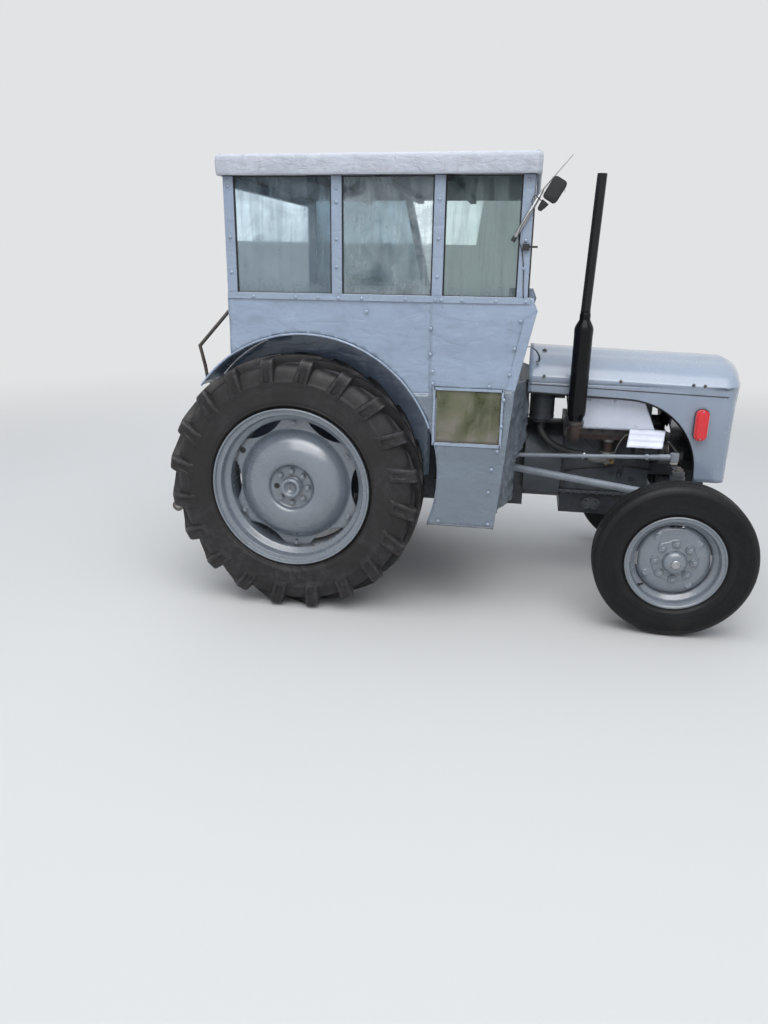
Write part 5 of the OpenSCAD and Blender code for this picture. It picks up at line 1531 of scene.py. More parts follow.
    def roof_cover(self) -> None:
        """Makes the wrinkled white roof with its board and ceiling."""
        x0, x1, y1 = self.back - 22, self.front + 22, self.half + 40
        radius = 16.0
        near, far, right, left = x0 + radius, x1 - radius, radius - y1, y1 - radius
        corners = ((far, right, -90), (far, left, 0), (near, left, 90), (near, right, 180))
        ring: list[tuple[float, float, float, float]] = []
        for k, (mx, my, first) in enumerate(corners):
            for step in range(7):
                nx, ny = polar(1.0, mix(first, first + 90, step / 6))
                ring.append((mx + radius * nx, my + radius * ny, nx, ny))
            x, y, turn = corners[(k + 1) % 4]
            off, across = polar(radius, turn)
            from_x, from_y, nx, ny = ring[-1]
            to_x, to_y = x + off, y + across
            parts = int(math.hypot(to_x - from_x, to_y - from_y) / 14)
            ring += [(mix(from_x, to_x, step / parts), mix(from_y, to_y, step / parts), nx, ny)
                     for step in range(1, parts)]
        cover = Forge()
        grid = []
        for drop, inset in ((1.0, 20), (0.0, 16), (-2.0, 6), (3, 3), (10, 1.5), (22, 0.8), (36, 0.4),
                            (50, 0.3), (62, 0.6), (71, 2.0), (77, 4.8), (81.5, 9), (84.2, 15), (85.2, 24)):
            row = []
            for x, y, nx, ny in ring:
                fold = 1.5 * ripple(x, y, drop * 0.4, 34) + 1.8 * ripple(x + 90, y, drop * 1.3, 85)
                thin = 1 - ease(0.0, 0.12, abs(ripple(x, y + 300, drop * 0.7, 70)))
                pinch = 2.2 * thin * ease(0, 30, drop)
                back = inset + 2.2 - min(2.0, fold) + pinch * 0.6
                wave = (1.6 * ripple(x, y, 0, 60) + 1.4) if drop < 12 else 0
                row.append((x - nx * back, y - ny * back, self.roof + max(0.5, drop + wave)))
            grid.append(row)
        for share in (0.93, 0.86, 0.76, 0.66, 0.56, 0.46, 0.36, 0.26, 0.16, 0.07):
            row = []
            for x, y, _, _ in ring:
                px, py = mix((x0 + x1) / 2, x, share), mix(0.0, y, share)
                row.append((px, py, self.roof_top - 2.2 + 1.2 * ripple(px, py, 3, 160) - 1.0))
            grid.append(row)
        cover.rows(grid, round_rows=True)
        cover.face(tuple(range(len(cover.spots) - len(ring), len(cover.spots))))
        cover.make("roof_cover", "chassis", "white_paint", ROOF_SKIN, replaces=["cab_roof"], skin=2.0,
                   crease=50)
        board = Forge()
        board.block((x0 + 14, -y1 + 14, self.roof + 4), (x1 - 14, y1 - 14, self.roof + 16))
        for x in (80, 380, 680):
            board.block((x, -640, self.roof - 22), (x + 34, 640, self.roof + 5))
        board.make("roof_board", "chassis", "white_paint", ROOF_BOARD, bevel=1.5)

    def guards(self) -> None:
        """Makes the mudguards and the foot boards."""
        gx, gz, gr = self.guard
        for side in Side:
            sign = side.value
            guard = Forge()
            grid = []
            for step in range(49):
                row = []
                for y in (679, 677, 660, 630, 590, 540, 490, 450, 436):
                    r = gr - 1.5 + (0.9 * ripple(step * 16, y, sign, 80) - 0.6) - (3 if y == 679 else 0)
                    off, up = polar(r, mix(21, 143, step / 48))
                    row.append((gx + off, sign * y, gz + up))
                grid.append(row if side is Side.RIGHT else row[::-1])
            guard.rows(grid)
            outline = [*arc(gx, gz, gr - 4, 21, 143, 40), (gx - 500, gz + 360), (gx - 500, gz - 60),
                       (-78, gz - 60)]
            outline += arc(0, 615, 83, 163, 17, 14)
            outline += [(80, gz - 60), (gx + 560, gz - 60), (gx + 560, gz + 214)]
            guard.drape([outline], 30.0,
                        lambda x, z, s=sign: (x, s * (434 + 1.2 * ripple(x, s, z, 120)), z))
            rim = [polar(gr - 3, turn) for turn in range(21, 144, 2)]
            guard.tube([(gx + off, sign * 678, gz + up) for off, up in rim], 4.0, 8)
            guard.make(f"mudguard_{side.label}", "chassis", "grey_paint", PAINT, skin=2.4, crease=45,
                       replaces=["mudguards"] if side is Side.RIGHT else [], skin_side=0.0)
        boards = Forge()
        for sign in (-1, 1):
            low, high = sorted((sign * 667, sign * 140))
            boards.block((645, low, self.floor - 9), (956, high, self.floor - 4))
            boards.block((645, low, self.floor - 13), (650, high, self.floor - 5))
            boards.block((951, low, self.floor - 13), (956, high, self.floor - 5))
            for row in range(7):
                for column in range(12):
                    spot = (668 + row * 44, sign * (170 + column * 42), self.floor - 4)
                    turn = 45 if (row + column) % 2 else -45
                    with boards.placed(moved(*spot) @ turned("Z", turn)):
                        boards.block((-13, -3, -1), (13, 3, 2.5))
        boards.make("foot_plates", "chassis", "floor_plate", FLOOR_PLATE, bevel=0.8, replaces=["foot_boards"])

    def lamp(self) -> None:
        """Makes the small lamp, its bright stepped rod and the wire on it."""
        y = -self.half - 11
        holder = Forge()
        holder.block((self.front - 40, y - 6, 1690), (self.front - 12, y + 10.5, 1716))
        holder.block((self.front - 34, y - 3, 1700), (self.front + 22, y + 3, 1708))
        holder.turned_bar((976, y, 1742), (1068, y, 1908), [(0, -20), (9.5, -20), (10, -2), (9, 0), (0, 0)],
                          14)
        holder.mark = 1
        holder.turned_bar((976, y, 1742), (1068, y, 1908),
                          [(0, 0), (8.4, 0), (8.4, 176), (6.2, 180), (5.8, 204), (0, 204)], 14)
        holder.turned_bar((1070, y, 1916), (1182, y - 6, 2050),
                          [(0, 0), (3, 0), (2.4, 172), (2.0, 174), (0, 174)], 12)
        holder.mark = 0
        case = [(1078, 1880), (1084, 1871), (1098, 1868), (1150, 1868), (1160, 1873), (1166, 1884),
                (1166, 1950), (1160, 1961), (1149, 1966), (1097, 1966), (1084, 1962), (1078, 1952)]
        cos, sin = polar(1.0, 30)
        case = [(1122 + 0.70 * (u - 1122) * cos + 0.96 * (v - 1917) * sin,
                 1919 - 0.70 * (u - 1122) * sin + 0.96 * (v - 1917) * cos) for u, v in case]
        holder.prism(case, y - 24, y - 6)
        holder.prism([(1122 + (u - 1122) * 0.88, 1917 + (v - 1917) * 0.88) for u, v in case], y - 28, y - 3)
        holder.turned_bar((1086, y - 14, 1872), (1058, y - 12, 1836),
                          [(0, -4), (17, -4), (15, 12), (10, 34), (0, 38)], 18)
        holder.prism([(1122 + (u - 1122) * 0.72, 1917 + (v - 1917) * 0.72) for u, v in case], y - 31, y - 27)
        holder.mark = 2
        holder.prism(arc(1140, 1918, 22, -30, 30, 6), y - 20, y - 9)
        holder.make("cab_lamp_body", "chassis", "black_plastic", BLACK_PLASTIC, BRIGHT_STEEL, CLEAR_LENS,
                    bevel=1.4, replaces=["cab_lamp"])
        wire = Forge()
        path = [(1092, y - 6, 1868), (1070, y - 10, 1880), (1046, y - 9, 1900), (1034, y - 7, 1878),
                (1044, y - 5, 1850), (1030, y - 8, 1838), (1012, y - 8, 1806), (994, y - 8, 1772),
                (990, y - 2, 1735), (1006, y + 3, 1690), (1018, y + 7, 1620), (1022, y + 7, 1540),
                (1026, y + 6, 1500)]
        wire.tube(smooth_path(path, 5), 1.8, 6)
        wire.make("cab_lamp_wire", "chassis", "black_plastic", BLACK_PLASTIC)

    def build(self) -> None:
        """Makes the whole cab."""
        self.sides()
        self.screws()
        self.frame()
        self.panes()
        self.roof_cover()
        self.guards()
        self.lamp()


@dataclass
class LooseSheet:
    """One of the thin loose sheets that hang between the bonnet and the cab."""

    side: Side
    outer: tuple[float, float] = (940.0, 666.0)
    inner: tuple[float, float] = (1088.0, 227.0)
    top: float = 1112.0
    low: float = 520.0
    split: float = 786.0
    short: float = 170.0

    def build(self) -> None:
        rows, columns = 50, 42
        sign = self.side.value
        seed = 11.0 if self.side is Side.RIGHT else 63.0
        wide = math.hypot(self.inner[0] - self.outer[0], self.inner[1] - self.outer[1])
        ahead = (self.outer[1] - self.inner[1]) / wide
        out = (self.inner[0] - self.outer[0]) / wide
        forge = Forge()
        grid = []
        for r in range(rows + 1):
            z = mix(self.top - 3, self.low + 8, r / rows)
            narrow = ease(self.split + 30, self.split - 60, z) * (self.short + 16 * ripple(z, 4, seed, 50))
            row = []
            for c in range(columns + 1):
                s = mix(4, wide - 4 - narrow, c / columns)
                loose = ease(self.top - 10, self.top - 150, z) * ease(0, 60, s)
                bulge = loose * (13.0 * ripple(s, z, seed, 130) + 7.0 * ripple(s + 0.7 * z, seed, z, 60))
                crease = loose * 9.0 * (1 - ease(0.0, 0.16, abs(ripple(s + 0.9 * z, z - s, seed, 105))))
                lift = max(-17.0, min(12.0, bulge + crease - 2.0 * loose))
                share = s / wide
                hem = ease(self.low + 60, self.low, z) * 9 * ripple(s, seed, 2, 45)
                x = mix(self.outer[0], self.inner[0], share) + lift * ahead
                y = mix(self.outer[1], self.inner[1], share) + lift * out
                row.append((x, sign * y, max(z + hem, self.low + 1)))
            grid.append(row if self.side is Side.LEFT else row[::-1])
        forge.rows(grid)
        made = forge.make(f"loose_sheet_{self.side.label}", "chassis", "flap_sheet", LOOSE_SHEET, skin=1.6,
                          replaces=["cab_flaps"] if self.side is Side.RIGHT else [], crease=60)


@dataclass
class Bonnet:
    """The bonnet with its nose, grille and marker lamps."""

    half: float = 310.0
    back: float = 1072.0
    top_at: float = 1252.0
    crease_at: float = 1131.0
    fall: float = math.tan(math.radians(1.7))
    datum: float = 1052.0
    low_back: float = 1049.0
    low_front: float = 1033.0
    arch: tuple[float, float, float] = (1534.0, 689.0, 344.0)
    bottom: float = 650.0
    nose_at: float = 1985.0
    front: float = 2082.0
    grille: tuple[float, float, float] = (150.0, 700.0, 1110.0)
    # Share of the way in from the nose's crease, and how far the skin has risen there
    nose: Sequence[tuple[float, float]] = ((0.0, 17.0), (0.06, 43.0), (0.124, 64.0), (0.24, 81.0),
                                           (0.41, 96.0), (0.7, 110.0), (0.9, 117.0), (1.0, 120.3))

    def top(self, x: float) -> float:
        """Returns the height of the bonnet's top line at a station."""
        return self.top_at - self.fall * (x - self.datum)

    def crease(self, x: float) -> float:
        """Returns the height of the bonnet's side crease at a station."""
        return self.crease_at - self.fall * (x - self.datum)

    def section(self, x: float, in_from_side: float) -> float:
        """Returns the height of the upper skin at a station, by the distance inwards from the side."""
        top, crease = self.top(x), self.crease(x)
        keys = [(0, crease), (12, crease + 15), (36, crease + 38), (64, crease + 58), (96, crease + 74),
                (138, mix(crease + 74, top - 22, 0.52) + 4), (180, top - 22), (215, top - 11.5),
                (250, top - 4), (310, top)]
        return lerp_table(keys, in_from_side)[0]

    def plan_spots(self) -> list[tuple[float, float, float, float]]:
        """Draws the plan from the right-hand back corner round the nose to the left-hand one.

        Returns:
            Place along x and y, and the outward direction of each point.
        """
        ring = smooth_path([(self.nose_at, -self.half, 0), (2012, -298, 0), (2034, -270, 0), (2050, -222, 0),
                            (2064, -165, 0), (2075, -95, 0), (2080, -45, 0), (self.front, 0, 0)], 6)
        straight = [Vector((mix(self.back, self.nose_at, k / 46), -self.half, 0.0)) for k in range(46)]
        half = straight + ring
        whole = half + [Vector((p.x, -p.y, 0)) for p in reversed(half[:-1])]
        spots = []
        for i, p in enumerate(whole):
            ahead = (whole[min(i + 1, len(whole) - 1)] - whole[max(i - 1, 0)]).normalized()
            spots.append((p.x, p.y, ahead.y, -ahead.x))
        return spots

    def lower(self, x: float) -> float:
        """Returns the height of the lower edge."""
        ax, az, radius = self.arch
        if x <= ax:
            return mix(self.low_back, self.low_front, (x - self.back) / (ax - self.back))
        if x < ax + radius:
            return max(self.bottom, az + math.sqrt(radius * radius - (x - ax) ** 2))
        return self.bottom

    def slope(self, z: float) -> float:
        """Returns how far the nose's front lies behind its foremost line at a height."""
        return lerp_table(((self.bottom, 30.0), (1120.0, 0.0), (1140.0, 3.0)), z)[0]

    def skin(self) -> None:
        """Makes the sheet metal: sides, nose and top in one loft, with the crease and the arch's bead."""
        spots = self.plan_spots()
        forge = Forge()
        sides = 22
        grid = []
        ax = self.arch[0]
        for level in range(sides + 1):
            row = []
            share = level / sides
            for x, y, nx, ny in spots:
                low, high = self.lower(x), min(self.crease(x), self.crease(self.nose_at)) - 0.5
                z = mix(low, high, share)
                back = self.slope(z) * ease(300, 120, abs(y)) if x > 1990 else 0.0
                curl = 3.0 * ease(0.93, 1.0, share) - 1.8 * ease(0.80, 0.86, share) * ease(0.93, 0.86, share)
                dent = 0.9 * ripple(x, y + z, z, 130)
                push = curl + dent - 2.6
                row.append((x + nx * push - back, y + ny * push, z))
            grid.append(row)
        gy, glow, ghigh = self.grille

        def keep(r: int, c: int) -> bool:
            """Leaves the grille's opening free."""
            a, b = grid[r][c], grid[r + 1][c + 1]
            mid = [(p + q) / 2 for p, q in zip(a, b)]
            return not (mid[0] > 2040 and abs(mid[1]) < gy and glow < mid[2] < ghigh)

        forge.rows(grid, keep=keep)
        upper = []
        for inward in (0, 5, 12, 22, 36, 50, 64, 80, 96, 116, 138, 160, 180, 198, 215, 232, 250, 272, 292,
                       310):
            row = []
            share = inward / self.half
            for x, y, nx, ny in spots:
                lip = 1.2 * ease(8, 0, inward)
                if x <= self.nose_at:
                    px, py = x, math.copysign(self.half - inward, y) if inward < self.half else 0.0
                    z = self.section(x, inward)
                    wave = ripple(px, py, z, 150)
                else:
                    px, py, z = self.dome(x, y, share)
                    level = self.section(self.nose_at, inward)
                    wave = ripple(mix(x, 1980.0, share), mix(y, 0.0, share), level, 150)
                row.append((px + nx * lip, py + ny * lip, z + (1.1 * wave - 1.4)))
            upper.append(row)
        forge.rows(upper)
        forge.rows([grid[-1], upper[0]])
        forge.make("bonnet_skin", "bonnet", "grey_paint", TIN, replaces=["bonnet"], skin=3.0, crease=40,
                   weld=True)
        trim = Forge()
        for sign in (-1, 1):
            rim = [(x, sign * 308.5, self.lower(x))
                   for x in [mix(self.back + 4, ax, k / 20) for k in range(20)]]
            rim += [(px, sign * 308.5, pz)
                    for px, pz in arc(ax, self.arch[1], self.arch[2] - 1, 88, -6.5, 40)]
            trim.tube(rim, 4.2, 8)
            seam = [(x, sign * 308.6, self.crease(x) - 42)
                    for x in [mix(self.back + 6, 1990, k / 40) for k in range(41)]]
            trim.tube(seam, 1.8, 6)
        trim.make("bonnet_edges", "bonnet", "black_paint", BLACK_PAINT)

    def dome(self, x: float, y: float, share: float) -> Spot:
        """Returns the place of the nose's top skin, by how far it lies inwards of the crease."""
        front = abs(math.cos(math.atan2(y, max(x - self.nose_at, 0.01))))
        rim = self.crease(self.nose_at)
        side = self.section(self.nose_at, share * self.half) - rim
        ahead = lerp_table(self.nose, share)[0]
        return (mix(x, self.nose_at, share), mix(y, 0.0, share), rim + mix(side, ahead, front))

    def fittings(self) -> None:
        """Makes the grille, the marker lamps, the studs and the clip."""
        gy, glow, ghigh = self.grille
        grille = Forge()
        for k in range(13):
            y = -138 + 23 * k
            points = [(self.front - self.slope(z) - 26 - 0.00022 * y * y * 9, y, z) for z in
                      [mix(glow - 6, ghigh + 6, s / 8) for s in range(9)]]
            grille.tube(points, 4.4, 8, 1.5)
        for z in (800, 900, 1000):
            path = [(self.front - self.slope(z) - 34 - 0.002 * y * y, y, z) for y in range(-150, 151, 25)]
            grille.tube(path, 3.4, 8)
        ring = [(self.front - self.slope(z) - 0.00037 * y * y - 7, y, z) for y, z in
                [(-gy, glow), (-gy, ghigh), (0, ghigh), (gy, ghigh), (gy, glow), (0, glow)]]
        grille.tube(ring, 4.5, 8, closed=True)
        grille.make("grille_bars", "bonnet", "grey_paint", TIN, replaces=["grille"])
        lamps = Forge()
        for sign in (-1, 1):
            face = sign * self.half
            for shape, inner, outer, mark in (((1882, 930, 32, 75, 28), 0, 10, 1),
                                              ((1880, 930, 29, 73, 27), 9, 34, 0),
                                              ((1880, 930, 22, 64, 20), 33, 40, 0),
                                              ((1904, 930, 7, 50, 6), 9, 31, 2)):
                lamps.mark = mark
                low, high = sorted((face + sign * inner, face + sign * outer))
                lamps.prism(rounded(*shape), low, high)
            for z in (866, 994):
                lamps.mark = 3
                lamps.screw((1880, face + sign * 38, z), (0, sign, 0), 4)
        lamps.make("marker_lamp_lenses", "bonnet", "lamp_glass", RED_LENS, BLACK_PLASTIC, CLEAR_LENS,
                   BRIGHT_STEEL, bevel=2.5, replaces=["marker_lamps"])
        bits = Forge()
        for sign in (-1, 1):
            for x, z in ((1827, 1112), (1878, 1110), (1500, 1117)):
                bits.bolt((x, sign * 309, z), (0, sign, 0), 8, 6, tip=4)
            bits.turned_bar((1144, sign * 312, 1130), (1144, sign * 326, 1130),
                            [(0, 0), (7, 0), (7, 10), (4, 14), (0, 14)], 12)
        bits.turned_bar((1142, -120, self.section(1142, 190) - 4), (1142, -122, self.section(1142, 190) + 14),
                        [(0, 0), (11, 0), (11, 8), (6, 12), (0, 12)], 14)
        bits.make("bonnet_bits", "bonnet", "dirty_steel", DIRTY_STEEL, bevel=0.6)

    def build(self) -> None:
        """Makes the bonnet."""
        self.skin()
        self.fittings()


@dataclass
class EngineBay:
    """What shows in the open bay: exhaust, air cleaner, hoses, heat shield, dynamo and small parts."""

    exhaust_x: float = 1305.0
    exhaust_y: float = -372.0

    def exhaust(self) -> None:
        """Makes the silencer, its pipe and the elbow with its wire wraps."""
        x, y = self.exhaust_x, self.exhaust_y
        pipe = Forge()
        with pipe.placed(moved(x, y, 0)):
            pipe.lathe([(0, 918), (27, 918), (27.5, 931), (32, 934), (34, 950), (41, 960), (42.6, 976),
                        (43, 990), (42.2, 1130), (43, 1134), (43, 1142), (42.2, 1146), (42.2, 1330),
                        (43, 1338), (43, 1358), (39, 1372), (27, 1394), (24.5, 1400), (24.5, 1424),
                        (22.5, 1427), (22, 1440), (0, 1440)], 40,
                       wobble=lambda t, r, h: 0.5 * ripple(math.cos(t) * 60, math.sin(t) * 60, h, 60))
        top, tip = (x + 18, y, 2012), (x, y, 1436)
        length = (Vector(top) - Vector(tip)).length
        pipe.turned_bar(tip, top, [(0, 0), (21.5, 0), (21.5, length), (18.5, length), (18.5, length - 120),
                                   (0, length - 120)], 32)
        pipe.make("silencer", "chassis", "black_paint", BLACK_PAINT, replaces=["exhaust"], crease=30)
        elbow = Forge()
        path = smooth_path([(x, y, 934), (x, y, 900), (x, y + 6, 866), (x, y + 38, 843), (x, y + 80, 842),
                            (x, y + 120, 842), (x, -206, 842)], 5)
        elbow.tube(path, 25.5, 24)
        elbow.turned_bar((x, -212, 842), (x, -200, 842), [(0, 0), (38, 0), (38, 11), (0, 11)], 24)
        for turn in (45, 135, 225, 315):
            off, up = polar(31, turn)
            elbow.bolt((x + off, -211, 842 + up), (0, -1, 0), 7, 6, tip=3)
        for k in range(9):
            z = 915 + 3.4 * k
            tilt = 1.6 * math.sin(k * 2.1)
            turns = [2 * math.pi * s / 28 for s in range(28)]
            elbow.tube([(x + (29 + k % 2) * math.cos(t), y + (29 + k % 2) * math.sin(t),
                         z + tilt * math.cos(t + k)) for t in turns], 1.6, 6, closed=True)
        elbow.tube(smooth_path([(x + 26, y - 14, 942), (x + 36, y - 22, 930), (x + 30, y - 30, 912),
                                (x + 16, y - 34, 905)], 5), 1.5, 6)
        elbow.make("exhaust_elbow", "chassis", "rusty_iron", RUSTY, crease=35)

    def air(self) -> None:
        """Makes the air cleaner, its hose and the inlet pipe."""
        can = Forge(moved(1148, -190, 0))
        can.lathe([(0, 890), (39, 890), (40, 903), (58, 905), (61.5, 912), (62, 920), (60.4, 924),
                   (60.4, 942), (62, 946), (60.4, 950), (60.4, 1010), (62, 1014), (60.4, 1018), (60.4, 1060),
                   (57, 1069), (20, 1070), (0, 1070)], 44)
        can.make("air_cleaner", "chassis", "grey_paint", CASTING, replaces=["air_intake"], crease=32)
        hose = Forge()
        path = smooth_path([(1148, -190, 898), (1150, -200, 872), (1150, -214, 846), (1186, -230, 800),
                            (1240, -237, 768), (1300, -238, 748), (1352, -237, 738), (1392, -237, 730)], 9)
        steps = len(path)
        hose.tube(path,
                  [19.4 - 1.6 * abs(math.sin(i * 1.57)) if 8 < i < steps - 8 else 19.2 for i in range(steps)],
                  20)
        hose.mark = 1
        for where in (5, steps - 7):
            hose.tube([path[where] - (path[where + 1] - path[where]) * 0.8, path[where + 1]], 21.5, 20)
        hose.make("air_hose", "chassis", "black_hose", HOSE, BRIGHT_STEEL, crease=40)
        inlet = Forge()
        inlet.tube(smooth_path([(1380, -237, 732), (1415, -236, 722), (1446, -226, 716), (1470, -205, 712),
                                (1480, -180, 712)], 6), 17.5, 20)
        inlet.turned_bar((1486, -171, 686), (1486, -171, 748),
                         [(0, 0), (24, 0), (30, 2), (37.5, 5), (38, 22), (36.8, 26), (36.8, 30), (38.5, 36),
                          (38.5, 54), (37, 59), (24, 62), (0, 62)], 28)
        inlet.turned_bar((1486, -171, 745), (1486, -171, 814),
                         [(0, 0), (23.5, 0), (23.5, 52), (33, 55), (33, 69), (0, 69)], 24)
        inlet.block((1452, -200, 702), (1522, -146, 728))
        inlet.mark = 1
        for spot, out in (((1472, -206, 706), (0, -1, 0)), ((1500, -206, 722), (0, -1, 0)),
                          ((1486, -171, 688), (0, 0, -1)), ((1510, -204, 700), (0, -1, 0))):
            inlet.bolt(spot, out, 9, 9, washer=11, tip=4)
        inlet.mark = 0
        inlet.tube(smooth_path([(1505, -206, 724), (1512, -228, 742), (1530, -236, 800), (1560, -240, 848),
                                (1612, -238, 862)], 6), 3.2, 8)
        inlet.make("carburettor_body", "chassis", "dirty_steel", CARB_METAL, BRASS, bevel=1.0)

    def shield(self) -> None:
        """Makes the silver heat shield with its ribs and folded flap."""
        sheet = Forge()
        tall = 154
        grid = []
        for r in range(14):
            z = mix(1030, 876, r / 13)
            row = []
            for c in range(40):
                x = mix(1347, mix(1690, 1622, (z - 876) / tall), c / 39)
                rib = 2.0 * max(0.0, math.sin((z - 876) / tall * math.pi * 5)) * ease(1560, 1640, x)
                row.append((x, -257 - rib + 2.2 * ripple(x, 3, z, 80), z))
            grid.append(row)
        sheet.rows(grid)
        shelf = []
        for r in range(9):
            y = mix(-257, -101, r / 8)
            row = [(mix(1347, 1640, c / 24), y, 1029 + 1.4 * ripple(c * 12, y, 2, 60)) for c in range(25)]
            shelf.append(row)
        sheet.rows(shelf[::-1])
        flap = []
        for r in range(25):
            down = r / 24
            flap.append([(mix(1572, 1738, c / 30) - 14 * down,
                          -259 - 50 * down - 4 * abs(math.sin(down * 9.4)),
                          mix(882, 802, down) + 2.5 * ripple(c * 8, r * 6, 9, 50)) for c in range(31)])
        sheet.rows(flap)
        for x in (1372, 1490, 1612):
            sheet.screw((x, -260, 1012), (0, -1, 0), 6)
        sheet.screw((1600, -260, 900), (0, -1, 0), 6)
        sheet.make("heat_shield_sheet", "chassis", "silver_sheet", SILVER, replaces=["heat_shield"], skin=1.8,
                   crease=50)

    def dynamo(self) -> None:
        """Makes the dynamo, its pulley and the belt."""
        body = Forge()
        profile = [(0, 1596), (40, 1596), (50, 1601), (52, 1608), (52, 1622), (49, 1625), (49, 1640),
                   (53.5, 1643), (53.5, 1706), (49, 1709), (49, 1716), (54, 1719), (54, 1730), (44, 1735),
                   (16, 1735), (16, 1760), (0, 1760)]
        body.turned_bar((0, -242, 782), (1, -242, 782), profile, 36)
        for off, up in circle(49.5, 14):
            body.block((1622, -242 + off - 3, 782 + up - 3), (1642, -242 + off + 3, 782 + up + 3))
        for y, z in ((-242, 836), (-206, 822)):
            body.bolt((1600, y, z - 8), (-1, 0, 0), 8, 7, tip=4)
        body.make("dynamo_body", "chassis", "engine_grey", CASTING, replaces=["dynamo"], bevel=1.0)
        wheel = Forge()
        wheel.turned_bar((0, -242, 782), (1, -242, 782),
                         [(0, 1736), (35.5, 1736), (35.5, 1740), (28, 1747), (28, 1750), (35.5, 1757),
                          (35.5, 1761), (14, 1761), (12, 1766), (0, 1766)], 32)
        wheel.make("dynamo_pulley", "chassis", "dirty_steel", DIRTY_STEEL, crease=30)
        belt = Forge()
        path = belt_path([(-242.0, 782.0, 35.0), (0.0, 744.0, 52.0), (0.0, 868.0, 42.0)])
        belt.rows([[(1744, y, z), (1753, y, z)] for y, z in path], round_ends=True)
        belt.make("fan_belt", "chassis", "front_rubber", HOSE, skin=5.0)

    def small(self) -> None:
        """Makes bolts, plugs, leads, pipes and the filler cap on the engine."""
        bits = Forge()
        for x in range(1306, 1680, 44):
            bits.bolt((x, -113, 985), (0, 0, 1), 9, 9, washer=11)
        for x in range(1292, 1680, 42):
            bits.bolt((x, -139, 514), (0, 0, -1), 7, 6)
            bits.bolt((x, -147, 521), (0, -1, 0), 5, 3)
        for x, z in ((1300, 560), (1300, 700), (1360, 560), (1690, 560), (1690, 860), (1690, 700),
                     (1620, 600), (1520, 620)):
            bits.bolt((x, -130, z), (0, -1, 0), 10, 8, washer=13, tip=3)
        with bits.placed(moved(1433, -130, 458) @ turned("X", 90)):
            bits.lathe([(0, -2), (34, -2), (34, 5), (30, 8), (0, 8)], 32)
        for turn in range(30, 360, 60):
            off, up = polar(27, turn)
            bits.bolt((1433 + off, -138, 458 + up), (0, -1, 0), 5, 4)
        for x in range(1330, 1580, 62):
            bits.bolt((x, -205, 856), (0, -1, 0), 8, 7, washer=11, tip=5)
        for turn in range(0, 360, 36):
            off, up = polar(193, turn)
            bits.bolt((1257, off, 662 + up), (-1, 0, 0), 9, 8, washer=11)
        bits.turned_bar((1560, -128, 600), (1560, -150, 640),
                        [(0, 0), (9, 0), (9, 30), (5, 34), (5, 90), (0, 90)], 14)
        bits.tube(smooth_path([(1560, -150, 676), (1556, -160, 712), (1552, -168, 740), (1546, -166, 760)],
                              5), 3.0, 8)
        bits.tube([(1546 + off, -166, 769 + up) for off, up in circle(9, 18)], 2.4, 8, closed=True)
        bits.make("engine_bolts", "chassis", "engine_grey", CASTING)
        pipes = Forge()
        for k, x in enumerate((1360, 1440, 1520, 1600)):
            pipes.turned_bar((x, -104, 966), (x, -140, 1002),
                             [(0, 0), (9, 0), (9, 12), (6, 14), (6, 34), (4, 38), (0, 38)], 12)
            pipes.tube(smooth_path([(x, -132, 994), (x + 4, -152, 1018), (x + 30, -140, 1040),
                                    (x + 40 - k * 10, -95, 1052), (1480 + k * 6, -80, 1060)], 5), 3.6, 8)
        pipes.tube(smooth_path([(1290, -138, 620), (1330, -158, 640), (1400, -164, 652), (1480, -160, 660),
                                (1560, -152, 668), (1640, -146, 664), (1716, -138, 652)], 5), 4.0, 8)
        pipes.tube(smooth_path([(1280, -80, 1176), (1268, -150, 1160), (1262, -200, 1100), (1268, -216, 1000),
                                (1300, -206, 900), (1400, -190, 780), (1460, -196, 736)], 6), 3.4, 8)
        pipes.make("engine_leads", "chassis", "black_hose", HOSE)
        strip = Forge()
        strip.tube(smooth_path([(1056, -303, 1262), (1074, -294, 1262), (1098, -276, 1244),
                                (1114, -264, 1218), (1116, -258, 1196), (1106, -262, 1186)], 7), 9.0, 8, 0.22)
        strip.make("torn_strip", "chassis", "flap_sheet", LOOSE_SHEET, crease=60)

    def build(self) -> None:
        """Makes the engine bay's parts."""
        self.exhaust()
        self.air()
        self.shield()
        self.dynamo()
        self.small()


